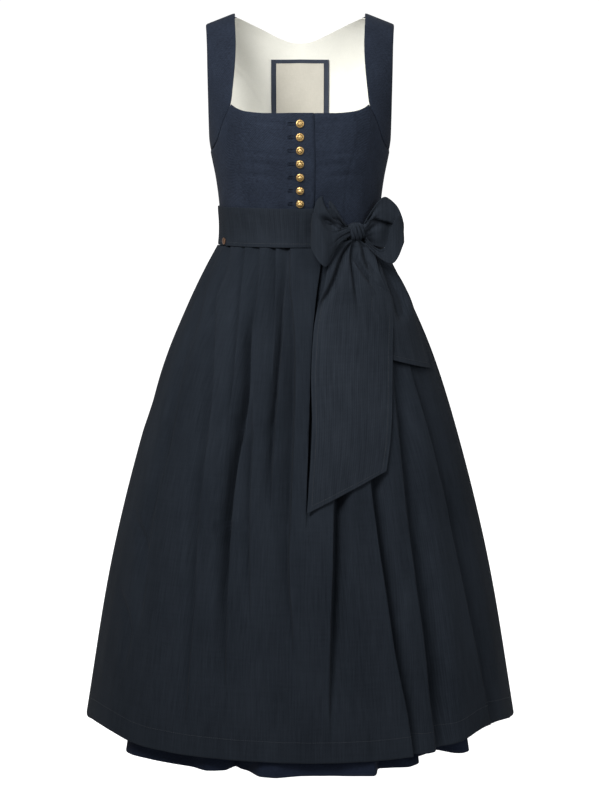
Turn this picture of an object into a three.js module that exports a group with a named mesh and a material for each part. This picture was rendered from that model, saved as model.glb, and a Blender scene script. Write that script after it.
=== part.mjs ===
// A worn dirndl: a bodice with wide straps and a buttoned front, a pleated midi skirt,
// and an apron with a waistband, a back tie and a bow on the wearer's left.
// Millimetres, +Z up, +Y to the back. The origin is under the shoulder straps, midway between them.
import * as THREE from 'three';

const DEGREES = Math.PI / 180;

// ---------------------------------------------------------------- driving sizes
const SQUARENESS = 2.2;        // exponent of every cross-section: 2 is an ellipse, more is squarer
const BODICE_WALL = 1.6;
const SKIRT_WALL = 1.4;
const APRON_WALL = 1.3;
const BAND_WALL = 2.0;
const BAND_LIFT = 2.8;         // from the bodice's outer surface to the waistband's
const SASH_WALL = 1.3;
const LINING_WALL = 1.0;
const LINING_DEPTH = 3.2;      // from the bodice's outer surface to the lining
const SEAM_GAP = 0.3;

const WAIST_Z = -350;
const HEM_Z = -1112;
const UNDERARM_Z = -206;
const BAND_TOP_Z = -291;
const APRON_HEM_Z = -1089;

const SHOULDER = { innerX: 100, slope: 0.386, topZ: BODICE_WALL, ridgeY: 8, frontDrop: 150, backDrop: 110 };

// Outer surface of the bodice: half width, and depth of the front and the back from the axis.
const BODICE_SECTIONS = [
  { z: -350, side: 124.5, front: 98, back: 84 },
  { z: -330, side: 123, front: 99, back: 83 },
  { z: -291, side: 124.5, front: 107, back: 86 },
  { z: -250, side: 129.5, front: 117, back: 92 },
  { z: -206, side: 138, front: 123, back: 98 },
  { z: -175, side: 143, front: 122, back: 99 },
  { z: -130, side: 150, front: 115, back: 98 },
  { z: -70, side: 161, front: 100, back: 93 },
  { z: 2, side: 168, front: 82, back: 84 },
];

// Outer surface of the skirt over the crests of its folds.
const SKIRT_SECTIONS = [
  { z: -1112, side: 342, front: 285, back: 298 },
  { z: -842, side: 294.5, front: 248, back: 257 },
  { z: -643, side: 244, front: 205, back: 211 },
  { z: -516, side: 203, front: 169, back: 171 },
  { z: -437, side: 169, front: 139, back: 138 },
  { z: -380, side: 141, front: 113, back: 106 },
  { z: -350, side: 124.5, front: 98, back: 84 },
];

// Folds of the skirt: how far its hem lies inside the crests, by the angle round it (0 is the front,
// + is to +X). They grow down the cloth from a height that is greater at the back.
const HEM_FOLDS = [
  { angle: -90, depth: 0 }, { angle: -88, depth: 8 }, { angle: -84, depth: 22 }, { angle: -80, depth: 32 },
  { angle: -76, depth: 40 }, { angle: -72, depth: 45 }, { angle: -67, depth: 48 }, { angle: -62, depth: 46 },
  { angle: -58, depth: 30 }, { angle: -54, depth: 17 }, { angle: -47, depth: 21 }, { angle: -40, depth: 24 },
  { angle: -33, depth: 24 }, { angle: -28.6, depth: 15 }, { angle: -25.6, depth: 19 },
  { angle: -22.4, depth: 27 }, { angle: -20.5, depth: 45 }, { angle: -16, depth: 29 },
  { angle: -11.6, depth: 6 }, { angle: -7, depth: 3 }, { angle: 0, depth: 12 }, { angle: 9, depth: 11 },
  { angle: 18, depth: 6 }, { angle: 21.5, depth: 2 }, { angle: 25.5, depth: 32 }, { angle: 29, depth: 28 },
  { angle: 34, depth: 22 }, { angle: 38.5, depth: 31 }, { angle: 43, depth: 58 }, { angle: 50, depth: 65 },
  { angle: 53, depth: 37 }, { angle: 57, depth: 27 }, { angle: 63, depth: 57 }, { angle: 70, depth: 59 },
  { angle: 77, depth: 53 }, { angle: 82, depth: 42 }, { angle: 86, depth: 25 }, { angle: 90, depth: 0 },
  { angle: 96, depth: 8 }, { angle: 101, depth: 40 }, { angle: 107, depth: 34 }, { angle: 112, depth: 7 },
  { angle: 117, depth: 6 }, { angle: 122, depth: 34 }, { angle: 128, depth: 20 }, { angle: 133, depth: 5 }, { angle: 137, depth: 9 },
  { angle: 141, depth: 46 }, { angle: 147, depth: 38 }, { angle: 152, depth: 6 }, { angle: 156, depth: 6 }, { angle: 160, depth: 32 },
  { angle: 165, depth: 22 }, { angle: 170, depth: 5 }, { angle: 174, depth: 10 }, { angle: 179, depth: 48 }, { angle: 185, depth: 38 },
  { angle: 190, depth: 6 }, { angle: 195, depth: 7 }, { angle: 199, depth: 36 }, { angle: 205, depth: 22 }, { angle: 210, depth: 4 },
  { angle: 215, depth: 10 }, { angle: 219, depth: 44 }, { angle: 225, depth: 34 }, { angle: 230, depth: 5 }, { angle: 234, depth: 7 },
  { angle: 238, depth: 30 }, { angle: 243, depth: 18 }, { angle: 249, depth: 4 }, { angle: 254, depth: 12 }, { angle: 258, depth: 40 },
  { angle: 263, depth: 24 }, { angle: 267, depth: 3 }, { angle: 270, depth: 0 },
];
const FOLD_START = { front: -600, back: -430, growth: 430 };

// Knife pleats: the angle that one takes at the waist, and how its step fades down the cloth.
const PLEAT_ANGLE = 13.6;
const PLEAT_STEP = [
  { z: -800, rise: 0 },
  { z: -640, rise: 1.5 },
  { z: -520, rise: 5 },
  { z: -430, rise: 6.5 },
  { z: -380, rise: 4 },
  { z: -350, rise: 1.2 },
];
const PLEAT_START = 0.47;          // the part of a pleat that the middle of the cloth has behind it
const PLEAT_COLUMNS = [0, 0.12, 0.42, 0.72];   // where each pleat's grid columns lie, 0.12 is its edge

// The skirt's clearance inside the apron, over the apron's own folds.
const CLEARANCE = [
  { z: -1112, depth: 1 },
  { z: -1050, depth: 2 },
  { z: -800, depth: 4 },
  { z: -500, depth: 3 },
  { z: -400, depth: 1.2 },
  { z: -350, depth: 0.5 },
];

// The apron's side edges: how far round the cloth reaches at each height.
const APRON_REACH = [
  { z: -1112, angle: 88 },
  { z: -350, angle: 88 },
];
// How much higher the apron's lower edge lies than APRON_HEM_Z, by how far across it is (0 to 1).
const APRON_EDGE = [
  { z: 0, rise: 0.7 },
  { z: 0.38, rise: 1.5 },
  { z: 0.49, rise: 5 },
  { z: 0.6, rise: 8.5 },
  { z: 0.715, rise: 14.5 },
  { z: 0.82, rise: 12.5 },
  { z: 0.887, rise: 8.5 },
  { z: 0.955, rise: 0 },
  { z: 1, rise: -4 },
];
const APRON_LIFT = 3;          // the apron's outer surface stands this far out from the skirt's crests

// Soft troughs of the apron: across (-1 to 1) at the top and the bottom, the heights between which
// they show, half width across, and depth.
const APRON_TROUGHS = [
  { topAcross: -0.268, hemAcross: -0.258, topZ: -400, hemZ: -1000, width: 0.06, depth: 16 },
  { topAcross: -0.104, hemAcross: -0.123, topZ: -385, hemZ: -760, width: 0.05, depth: 9 },
  { topAcross: -0.484, hemAcross: -0.352, topZ: -400, hemZ: -1060, width: 0.06, depth: 8 },
  { topAcross: -0.622, hemAcross: -0.601, topZ: -480, hemZ: -1000, width: 0.06, depth: 5 },
  { topAcross: 0.172, hemAcross: 0.102, topZ: -560, hemZ: -1040, width: 0.05, depth: 15 },
  { topAcross: 0.278, hemAcross: 0.376, topZ: -560, hemZ: -1112, width: 0.05, depth: 14 },
  { topAcross: 0.483, hemAcross: 0.458, topZ: -480, hemZ: -1112, width: 0.07, depth: 12 },
  { topAcross: 0.655, hemAcross: 0.712, topZ: -560, hemZ: -1112, width: 0.06, depth: 6 },
];

const SKIRT_ROWS = [-1112, -1060, -980, -880, -770, -660, -570, -490, -430, -390, -365, -350.3];
const APRON_ROWS = [-1089, -1050, -980, -880, -770, -660, -570, -490, -430, -390, -366, -350.4];

// One bodice front from the centre to the side seam: the top point of each grid column (the
// neckline, then the strap seam), and the column's foot at the waist.
const NECK_CORNER = { x: 103.4, z: -137.8 };
const STRAP_SEAM = [
  { x: 105, z: -138 },
  { x: 112.5, z: -155 },
  { x: 119.5, z: -172 },
  { x: 124.5, z: -188 },
  { x: 131.5, z: -201 },
  { x: 136.8, z: -205 },
];
const FRONT_COLUMNS = [
  { topX: 15, topZ: -151, footX: 14 },
  { topX: 22, topZ: -151, footX: 20 },
  { topX: 40, topZ: -151, footX: 36 },
  { topX: 60, topZ: -150.6, footX: 52 },
  { topX: 82, topZ: -148, footX: 68 },
  { topX: 95, topZ: -143.5, footX: 78 },
  { topX: NECK_CORNER.x, topZ: NECK_CORNER.z, footX: 86 },
  { topX: STRAP_SEAM[1].x - 0.5, topZ: STRAP_SEAM[1].z - 0.4, footX: 94 },
  { topX: STRAP_SEAM[2].x - 0.5, topZ: STRAP_SEAM[2].z - 0.4, footX: 102 },
  { topX: STRAP_SEAM[3].x - 0.5, topZ: STRAP_SEAM[3].z - 0.4, footX: 109 },
  { topX: STRAP_SEAM[4].x - 0.4, topZ: STRAP_SEAM[4].z - 0.7, footX: 116 },
  { topX: STRAP_SEAM[5].x, topZ: STRAP_SEAM[5].z - 0.7, footX: 121 },
];
const FRONT_ROWS = [0, 0.12, 0.26, 0.4, 0.55, 0.7, 0.85, 1];
const OVERLAP = { under: 14, over: 20, lift: 2.1, flatTo: 15, fadeTo: 22 };

// Strap edges from the underarm over the neck corner to the top of the shoulder.
const STRAP_ROWS = [
  { innerX: 131.5, innerZ: -201, outerX: 136.8, outerZ: -205 },
  { innerX: 124.5, innerZ: -188, outerX: 138.8, outerZ: -190 },
  { innerX: 119.5, innerZ: -172, outerX: 139.2, outerZ: -172 },
  { innerX: 112.5, innerZ: -155, outerX: 139.4, outerZ: -152 },
  { innerX: 105, innerZ: -138, outerX: 139.6, outerZ: -130 },
  { innerX: 100.5, innerZ: -112, outerX: 140, outerZ: -106 },
  { innerX: 97.5, innerZ: -80, outerX: 140.6, outerZ: -80 },
  { innerX: 96.5, innerZ: -52, outerX: 141.2, outerZ: -57 },
  { innerX: 97.5, innerZ: -28, outerX: 142.2, outerZ: -38 },
  { innerX: 98.7, innerZ: -12, outerX: 143.2, outerZ: -25 },
  { innerX: 99.6, innerZ: -3, outerX: 143.8, outerZ: -19 },
];
const SHOULDER_SEAM_DROP = 2.6;   // the shoulder seam lies behind the ridge, this far below it
const SHOULDER_OUTER_X = 144;

// Back neckline, from the centre out to the strap.
const BACK_NECK = [
  { x: 0, z: -40 },
  { x: 15, z: -38.5 },
  { x: 32, z: -32.5 },
  { x: 62, z: -18 },
  { x: 99.8, z: -1.3 },
];
// Curved back seam from the waist to the armhole, then the back armhole edge up to the shoulder.
const BACK_EDGE = [
  { x: 36, z: -350 },
  { x: 37.3, z: -328 },
  { x: 39, z: -300 },
  { x: 41.3, z: -275 },
  { x: 44, z: -250 },
  { x: 47.5, z: -222 },
  { x: 50.5, z: -200 },
  { x: 52.5, z: -186 },
  { x: 54.8, z: -170 },
  { x: 58.5, z: -150 },
  { x: 65, z: -130 },
  { x: 77, z: -110 },
  { x: 89, z: -95 },
  { x: 104, z: -84 },
  { x: 116, z: -77.5 },
  { x: 129.5, z: -71 },
  { x: 132.5, z: -54 },
  { x: 138, z: -35 },
  { x: 144, z: -18.9 },
];
const BACK_ACROSS = [1, 0.9, 0.8, 0.693, 0.56, 0.43, 0.3, 0.2, 0.1, 0];   // and mirrored
// Outer edge of each side back: the side seam up to the underarm, then the armhole.
const SIDE_BACK_EDGE = [
  { onSeam: true, z: -350 },
  { onSeam: true, z: -328 },
  { onSeam: true, z: -300 },
  { onSeam: true, z: -275 },
  { onSeam: true, z: -250 },
  { onSeam: true, z: -228 },
  { onSeam: true, z: UNDERARM_Z - 0.5 },
  { x: 137.2, z: -198 },
  { x: 133.5, z: -188 },
  { x: 129.5, z: -168 },
  { x: 127.5, z: -143 },
  { x: 127, z: -118 },
  { x: 127.2, z: -99 },
  { x: 128, z: -84 },
  { x: 129.4, z: -73 },
];
const LINING_EDGE = [
  { x: 121, z: -344 },
  { x: 120.5, z: -328 },
  { x: 121.5, z: -300 },
  { x: 123, z: -275 },
  { x: 125, z: -250 },
  { x: 126, z: -210 },
  { x: 121, z: -175 },
  { x: 119, z: -142 },
  { x: 118, z: -112 },
  { x: 119, z: -86 },
  { x: 122, z: -62 },
  { x: 127, z: -42 },
  { x: 128, z: -33 },
];
const LINING_TOP_Z = -25;
const LINING_TURNS = [80, 70, 60, 50, 40, 30, 20, 10, 0];

const LABEL_PATCH = { width: 93, topZ: -64, height: 104, wall: 1 };
const LABEL = { width: 77, topZ: -70, height: 92, wall: 1 };

const BUTTONS = { count: 7, topZ: -167, pitch: 19.6, radius: 6, height: 4.6 };
const STUD = { radius: 5.5, height: 2, x: -113, z: -343 };

// The bow. The knot faces outwards over the waistband; each loop is a strip that leaves the knot,
// turns and comes back; both ends hang over the apron.
const KNOT = { x: 84.5, y: -91.5, z: -326.5, halfWidth: 14, halfDepth: 9, halfHeight: 13.4, facing: 35 };
// Each loop from the knot along its front, round its tip and back: the strip's place, top and bottom.
const LEFT_LOOP = [
  { x: 74.4, y: -101.75, topZ: -319, lowZ: -334 },
  { x: 56, y: -117, topZ: -321, lowZ: -346.5 },
  { x: 46, y: -124, topZ: -320, lowZ: -362 },
  { x: 37, y: -129.5, topZ: -316, lowZ: -375 },
  { x: 26.5, y: -131.5, topZ: -303, lowZ: -366 },
  { x: 20.5, y: -128.5, topZ: -294, lowZ: -356 },
  { x: 16.8, y: -123, topZ: -287, lowZ: -346 },
  { x: 19, y: -118.5, topZ: -281, lowZ: -342 },
  { x: 33, y: -113.5, topZ: -273.5, lowZ: -340 },
  { x: 52, y: -106.5, topZ: -288, lowZ: -340 },
  { x: 61, y: -102, topZ: -303, lowZ: -340 },
  { x: 71.1, y: -95.95, topZ: -317.5, lowZ: -338 },
];
const RIGHT_LOOP = [
  { x: 97.3, y: -86.6, topZ: -331, lowZ: -341 },
  { x: 106, y: -91, topZ: -343, lowZ: -353 },
  { x: 122, y: -97, topZ: -353, lowZ: -367 },
  { x: 130, y: -96, topZ: -345, lowZ: -372 },
  { x: 138, y: -91, topZ: -319, lowZ: -374 },
  { x: 149.5, y: -82, topZ: -302, lowZ: -362 },
  { x: 157.5, y: -69, topZ: -296, lowZ: -343 },
  { x: 156, y: -63, topZ: -297, lowZ: -345 },
  { x: 149, y: -60, topZ: -289, lowZ: -350 },
  { x: 138, y: -63.5, topZ: -280, lowZ: -352 },
  { x: 127, y: -68, topZ: -275.5, lowZ: -352 },
  { x: 116, y: -73, topZ: -284, lowZ: -350 },
  { x: 106, y: -77.5, topZ: -298, lowZ: -346 },
  { x: 95.1, y: -80.1, topZ: -315, lowZ: -338 },
];
// Hanging ends: left and right edge at each height, how far they stand out, and the fold depth.
const LONG_END = [
  { leftX: 10, leftZ: -729, rightX: 124.5, rightZ: -672, lift: 7.4, fold: 0 },
  { leftX: 12.6, leftZ: -690, rightX: 128.5, rightZ: -645, lift: 7.4, fold: 0 },
  { leftX: 17.3, leftZ: -600, rightX: 133, rightZ: -580, lift: 7.4, fold: 0.4 },
  { leftX: 16, leftZ: -540, rightX: 133.8, rightZ: -530, lift: 7.4, fold: 0.8 },
  { leftX: 17.3, leftZ: -499, rightX: 134, rightZ: -495, lift: 7.4, fold: 1.4 },
  { leftX: 25.5, leftZ: -434, rightX: 128, rightZ: -426, lift: 9, fold: 5 },
  { leftX: 39.7, leftZ: -392, rightX: 115, rightZ: -385, lift: 12, fold: 7 },
  { leftX: 46, leftZ: -371, rightX: 109, rightZ: -366, lift: 13.5, fold: 6.5 },
  { leftX: 55, leftZ: -355, rightX: 98, rightZ: -352, lift: 15, fold: 4 },
  { leftX: 67.5, leftZ: -341, rightX: 83.5, rightZ: -341, lift: 15.5, fold: 0.6 },
];
const SHORT_END = [
  { leftX: 100, leftZ: -503, rightX: 196, rightZ: -535, lift: 5.4, fold: 0 },
  { leftX: 99, leftZ: -480, rightX: 188, rightZ: -505, lift: 5.4, fold: 0 },
  { leftX: 97, leftZ: -450, rightX: 176, rightZ: -465, lift: 5.4, fold: 0.6 },
  { leftX: 96, leftZ: -420, rightX: 161, rightZ: -428, lift: 5.6, fold: 1.2 },
  { leftX: 94, leftZ: -392, rightX: 142, rightZ: -396, lift: 6, fold: 2 },
  { leftX: 92, leftZ: -368, rightX: 121, rightZ: -370, lift: 5.6, fold: 1.2 },
  { leftX: 90, leftZ: -347.6, rightX: 99, rightZ: -347.6, lift: 6.5, fold: 0.3 },
];
const END_FOLDS = 2.5;          // waves across each hanging end

const COLOURS = { navy: 0x1f2940, charcoal: 0x1d222b, cream: 0xd8d8c8, label: 0xd2cdc0, brass: 0xb08a4c };

// ---------------------------------------------------------------- curves and surfaces
const lerp = (a, b, t) => a + (b - a) * t;
const ramp = (t) => {
  const s = Math.min(1, Math.max(0, t));
  return s * s * (3 - 2 * s);
};

// A smooth curve through the rows of a table, read at one height.
function fromRows(rows, field, z) {
  const last = rows.length - 1;
  if (z <= rows[0].z) return rows[0][field];
  if (z >= rows[last].z) return rows[last][field];
  let i = 0;
  while (rows[i + 1].z < z) i += 1;
  const slope = (a, b) => (rows[b][field] - rows[a][field]) / (rows[b].z - rows[a].z);
  const here = slope(i, i + 1);
  const span = rows[i + 1].z - rows[i].z;
  const before = i > 0 ? (slope(i - 1, i) + here) / 2 : here;
  const after = i + 1 < last ? (here + slope(i + 1, i + 2)) / 2 : here;
  const t = (z - rows[i].z) / span;
  const t2 = t * t;
  const t3 = t2 * t;
  return (2 * t3 - 3 * t2 + 1) * rows[i][field] + (t3 - 2 * t2 + t) * span * before
    + (3 * t2 - 2 * t3) * rows[i + 1][field] + (t3 - t2) * span * after;
}

// The cross-section at one height: half width, and depth on the front or the back.
function section(sections, z, isBack) {
  return { side: fromRows(sections, 'side', z), depth: fromRows(sections, isBack ? 'back' : 'front', z) };
}

// The point of a cross-section at an angle from the front, with its outward direction.
function hullPoint(sections, degrees, z) {
  const sin = Math.sin(degrees * DEGREES);
  const cos = Math.cos(degrees * DEGREES);
  const { side, depth } = section(sections, z, cos < 0);
  const radius = (Math.abs(sin / side) ** SQUARENESS + Math.abs(cos / depth) ** SQUARENESS) ** (-1 / SQUARENESS);
  const x = radius * sin;
  const y = -radius * cos;
  const power = SQUARENESS - 1;
  const out = new THREE.Vector2(
    Math.sign(x) * Math.abs(x) ** power / side ** SQUARENESS,
    Math.sign(y) * Math.abs(y) ** power / depth ** SQUARENESS,
  ).normalize();
  return { x, y, out };
}

// The depth of a cross-section at a distance from the middle, as a share of the whole.
function depthAt(sections, x, z, isBack) {
  const { side, depth } = section(sections, z, isBack);
  const inside = 1 - Math.min(1, Math.abs(x) / side) ** SQUARENESS;
  return depth * inside ** (1 / SQUARENESS);
}

// The angle from the front of the point of a cross-section that lies x from the middle.
function angleAt(sections, x, z, isBack) {
  const y = depthAt(sections, x, z, isBack);
  const degrees = Math.atan2(x, y) / DEGREES;
  return isBack ? 180 - degrees : degrees;
}

// Values that fall to 0 in the middle, then the same ones on the other side.
function bothSides(values) {
  return [...values, ...values.slice(0, -1).reverse().map((value) => -value)];
}

function ridgeHeight(x) {
  return SHOULDER.topZ + SHOULDER.slope * (SHOULDER.innerX - Math.abs(x));
}

// Above the chest the bodice closes in depth to the ridge of the shoulder.
function overShoulder(x, y, z, isBack) {
  const drop = Math.max(0, ridgeHeight(x) - z) / (isBack ? SHOULDER.backDrop : SHOULDER.frontDrop);
  const fullness = drop < 1 ? Math.sqrt(1 - (1 - drop) ** 2) : 1;
  return new THREE.Vector3(x, SHOULDER.ridgeY + (y - SHOULDER.ridgeY) * fullness, z);
}

function bodicePoint(degrees, z) {
  const { x, y } = hullPoint(BODICE_SECTIONS, degrees, z);
  return overShoulder(x, y, z, Math.cos(degrees * DEGREES) < 0);
}

function bodiceAt(x, z, isBack) {
  const depth = depthAt(BODICE_SECTIONS, x, z, isBack);
  return overShoulder(x, isBack ? depth : -depth, z, isBack);
}

// ---------------------------------------------------------------- walls
// A closed wall of cloth from a grid of points. Rows run upwards and columns run to the right as
// seen from outside: the wall's outer face is lifted from the grid and its inner face lies behind.
// A row beyond the top only turns the wall there. Points on a side seam are cut square at y = seamY.
function wallFromGrid(grid, thickness, { lift = () => 0, beyondTop = 0, onSeam = () => false, seamY = 0 } = {}) {
  const rows = grid.length - beyondTop;
  const columns = grid[0].length;
  const at = (i, j) => grid[Math.min(grid.length - 1, Math.max(0, i))][Math.min(columns - 1, Math.max(0, j))];
  const positions = [];
  for (const depth of [0, thickness]) {
    for (let i = 0; i < rows; i += 1) {
      for (let j = 0; j < columns; j += 1) {
        const across = at(i, j + 1).clone().sub(at(i, j - 1));
        const up = at(i + 1, j).clone().sub(at(i - 1, j));
        const normal = across.cross(up);
        if (onSeam(i, j)) normal.y = 0;
        const point = grid[i][j].clone().addScaledVector(normal.normalize(), lift(i, j) - depth);
        positions.push(point.x, onSeam(i, j) ? seamY : point.y, point.z);
      }
    }
  }
  const outer = (i, j) => i * columns + j;
  const inner = (i, j) => rows * columns + outer(i, j);
  const indices = [];
  const quad = (a, b, c, d) => indices.push(a, b, c, a, c, d);
  for (let i = 0; i < rows - 1; i += 1) {
    for (let j = 0; j < columns - 1; j += 1) {
      quad(outer(i, j), outer(i, j + 1), outer(i + 1, j + 1), outer(i + 1, j));
      quad(inner(i, j), inner(i + 1, j), inner(i + 1, j + 1), inner(i, j + 1));
    }
  }
  for (let j = 0; j < columns - 1; j += 1) {
    quad(inner(0, j), inner(0, j + 1), outer(0, j + 1), outer(0, j));
    quad(outer(rows - 1, j), outer(rows - 1, j + 1), inner(rows - 1, j + 1), inner(rows - 1, j));
  }
  for (let i = 0; i < rows - 1; i += 1) {
    quad(outer(i, 0), outer(i + 1, 0), inner(i + 1, 0), inner(i, 0));
    quad(inner(i, columns - 1), inner(i + 1, columns - 1), outer(i + 1, columns - 1), outer(i, columns - 1));
  }
  return geometryFrom(positions, indices);
}

function geometryFrom(positions, indices) {
  const geometry = new THREE.BufferGeometry();
  geometry.setAttribute('position', new THREE.Float32BufferAttribute(positions, 3));
  geometry.setIndex(indices);
  return geometry;
}

// The same piece on the other side of the body.
function mirrored(geometry) {
  const copy = geometry.clone();
  const position = copy.getAttribute('position');
  for (let i = 0; i < position.count; i += 1) position.setX(i, -position.getX(i));
  const index = Array.from(copy.getIndex().array);
  for (let i = 0; i < index.length; i += 3) [index[i + 1], index[i + 2]] = [index[i + 2], index[i + 1]];
  copy.setIndex(index);
  return copy;
}

// ---------------------------------------------------------------- bodice
// One front, on +X. It starts past the centre by the width of the buttoned overlap.
function bodiceFront(pastCentre, isOver) {
  const columns = [
    { topX: -pastCentre, topZ: -151, footX: -pastCentre },
    { topX: -pastCentre / 3, topZ: -151, footX: -pastCentre / 3 },
    ...FRONT_COLUMNS,
  ];
  const edges = columns.map((c) => ({
    topAngle: angleAt(BODICE_SECTIONS, c.topX, c.topZ, false),
    footAngle: angleAt(BODICE_SECTIONS, c.footX, WAIST_Z, false),
    topZ: c.topZ,
    topX: c.topX,
  }));
  edges.push({ topAngle: 90, footAngle: 90, topZ: UNDERARM_Z - 0.5, topX: 138 });
  const grid = FRONT_ROWS.map((up) => edges.map((edge) => {
    const z = lerp(WAIST_Z, edge.topZ, up);
    return bodicePoint(lerp(edge.footAngle, edge.topAngle, up), z);
  }));
  const lift = (i, j) => {
    if (!isOver) return 0;
    return OVERLAP.lift * ramp((OVERLAP.fadeTo - edges[j].topX) / (OVERLAP.fadeTo - OVERLAP.flatTo));
  };
  return wallFromGrid(grid, BODICE_WALL, { lift, onSeam: (i, j) => j === edges.length - 1, seamY: -SEAM_GAP / 2 });
}

// A strap, on +X, from the underarm over the shoulder to its seam behind the ridge.
function strap() {
  const shares = [0, 1 / 3, 2 / 3, 1];
  const grid = STRAP_ROWS.map((row) => shares.map((share) => (
    bodiceAt(lerp(row.innerX, row.outerX, share), lerp(row.innerZ, row.outerZ, share), false)
  )));
  for (const drop of [0, SHOULDER_SEAM_DROP, 2.5 * SHOULDER_SEAM_DROP]) {
    grid.push(shares.map((share) => {
      const x = lerp(SHOULDER.innerX, SHOULDER_OUTER_X, share);
      return bodiceAt(x, ridgeHeight(x) - drop, true);
    }));
  }
  return wallFromGrid(grid, BODICE_WALL, { beyondTop: 1 });
}

// The top edge of the back: neckline, then shoulder seam.
function backTopZ(x) {
  const out = Math.abs(x);
  if (out > 99.8) return ridgeHeight(out) - SHOULDER_SEAM_DROP - 2 * SEAM_GAP;
  const i = BACK_NECK.findIndex((p) => p.x > out);
  const to = i < 0 ? BACK_NECK.length - 1 : i;
  const from = to - 1;
  return lerp(BACK_NECK[from].z, BACK_NECK[to].z, (out - BACK_NECK[from].x) / (BACK_NECK[to].x - BACK_NECK[from].x));
}

function backCentre() {
  const edgeTop = BACK_EDGE[BACK_EDGE.length - 1];
  const columns = bothSides(BACK_ACROSS);
  const grid = BACK_EDGE.map((edge) => columns.map((across) => {
    const share = (edge.z - WAIST_Z) / (edgeTop.z - WAIST_Z);
    const z = lerp(WAIST_Z, backTopZ(across * edgeTop.x), share);
    return bodiceAt(across * edge.x, Math.abs(across) === 1 ? edge.z : z, true);
  }));
  grid.push(columns.map((across) => {
    const x = across * edgeTop.x;
    return bodiceAt(x, backTopZ(x) + (Math.abs(x) > 99 ? SHOULDER_SEAM_DROP : 8), true);
  }));
  return wallFromGrid(grid, BODICE_WALL, { beyondTop: 1 });
}

// One side back, on +X, between the side seam and the curved back seam.
function sideBack() {
  const shares = [0, 0.11, 0.22, 0.34, 0.47, 0.6, 0.73, 0.87, 1];
  const grid = SIDE_BACK_EDGE.map((edge, i) => {
    const { x, z } = BACK_EDGE[i];
    const before = BACK_EDGE[Math.max(0, i - 1)];
    const after = BACK_EDGE[i + 1];
    const apart = lerp(2, 4, ramp((z - BACK_EDGE[9].z) / 50)) * SEAM_GAP;   // wider where the back curves most
    const along = new THREE.Vector2(after.x - before.x, after.z - before.z).setLength(apart);
    const seam = { x: x + along.y, z: z - along.x };
    const outerAngle = edge.onSeam ? 90 : angleAt(BODICE_SECTIONS, edge.x, edge.z, true);
    const seamAngle = angleAt(BODICE_SECTIONS, seam.x, seam.z, true);
    return shares.map((share) => bodicePoint(lerp(outerAngle, seamAngle, share), lerp(edge.z, seam.z, share)));
  });
  return wallFromGrid(grid, BODICE_WALL, { onSeam: (i, j) => j === 0 && SIDE_BACK_EDGE[i].onSeam, seamY: SEAM_GAP / 2 });
}

// The cream lining behind the whole back.
function backLining() {
  const foot = LINING_EDGE[0];
  const top = LINING_EDGE[LINING_EDGE.length - 1];
  const turns = bothSides(LINING_TURNS);
  const grid = LINING_EDGE.map((edge) => turns.map((turn, j) => {
    const across = Math.sin(turn * DEGREES) / Math.sin(LINING_TURNS[0] * DEGREES);
    const rise = (edge.z - foot.z) / (top.z - foot.z);
    const isEdge = j === 0 || j === turns.length - 1;
    const topZ = Math.min(backTopZ(across * top.x) - 3, LINING_TOP_Z);
    const z = isEdge ? edge.z : lerp(foot.z, topZ, rise);
    return bodiceAt(across * edge.x, z, true);
  }));
  return wallFromGrid(grid, LINING_WALL, { lift: () => -LINING_DEPTH });
}

// A flat cloth rectangle sewn inside the back, at a depth behind the outer surface.
function insideBack({ width, topZ, height, wall }, depth) {
  const across = [0.5, 0.3, 0.1, -0.1, -0.3, -0.5];
  const up = [0, 0.2, 0.4, 0.6, 0.8, 1];
  const grid = up.map((v) => across.map((u) => bodiceAt(u * width, topZ - height * (1 - v), true)));
  return wallFromGrid(grid, wall, { lift: () => -depth });
}

// ---------------------------------------------------------------- skirt
// A knife pleat rises at its edge and falls back to the next; it faces away from the middle.
function pleatRise(phase) {
  const edge = PLEAT_COLUMNS[1];
  const t = phase - Math.floor(phase);
  return t < edge ? t / edge : (1 - t) / (1 - edge);
}

// How deep the apron's soft folds are, at a place across it; a margin widens and deepens them.
function apronFolds(across, z, margin = 1) {
  let depth = 0;
  for (const trough of APRON_TROUGHS) {
    const down = (trough.topZ - z) / (trough.topZ - trough.hemZ);
    const centre = lerp(trough.topAcross, trough.hemAcross, Math.min(1, Math.max(0, down)));
    const away = (across - centre) / (trough.width * margin);
    const shown = ramp(down * 4) * (trough.hemZ <= APRON_HEM_Z ? 1 : ramp((1 - down) * 2.2));
    depth += trough.depth * shown * Math.exp(-away * away);
  }
  return depth;
}

// The skirt's own folds at an angle and a height: straight lines between the rows of its table.
function hemFall(degrees, z) {
  const turned = ((degrees + 450) % 360) - 90;
  const k = Math.min(HEM_FOLDS.length - 1, Math.max(1, HEM_FOLDS.findIndex((row) => row.angle >= turned)));
  const [from, to] = [HEM_FOLDS[k - 1], HEM_FOLDS[k]];
  const depth = lerp(from.depth, to.depth, Math.min(1, Math.max(0, (turned - from.angle) / (to.angle - from.angle))));
  const behind = ramp((turned - 90) / 30) * ramp((270 - turned) / 30);
  const start = lerp(FOLD_START.front, FOLD_START.back, behind);
  return depth * ramp((start - z) / FOLD_START.growth);
}

// The skirt lies under the apron's folds, has folds of its own, and pleats where it is uncovered.
function skirtRecess(degrees, z) {
  const signed = degrees > 180 ? degrees - 360 : degrees;
  const reach = fromRows(APRON_REACH, 'angle', z);
  const covered = ramp((reach + 5 - Math.abs(signed)) / 5);
  const rise = fromRows(PLEAT_STEP, 'rise', z);
  const room = rise + fromRows(CLEARANCE, 'depth', z) + 1.1 * apronFolds(signed / reach, z, 1.5);
  const fromMiddle = degrees > 90 ? Math.abs(degrees - 180) : Math.abs(degrees);
  const pleats = rise * (1 - pleatRise(-fromMiddle / PLEAT_ANGLE - PLEAT_START));
  return hemFall(degrees, z) + lerp(pleats, room, covered);
}

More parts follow.
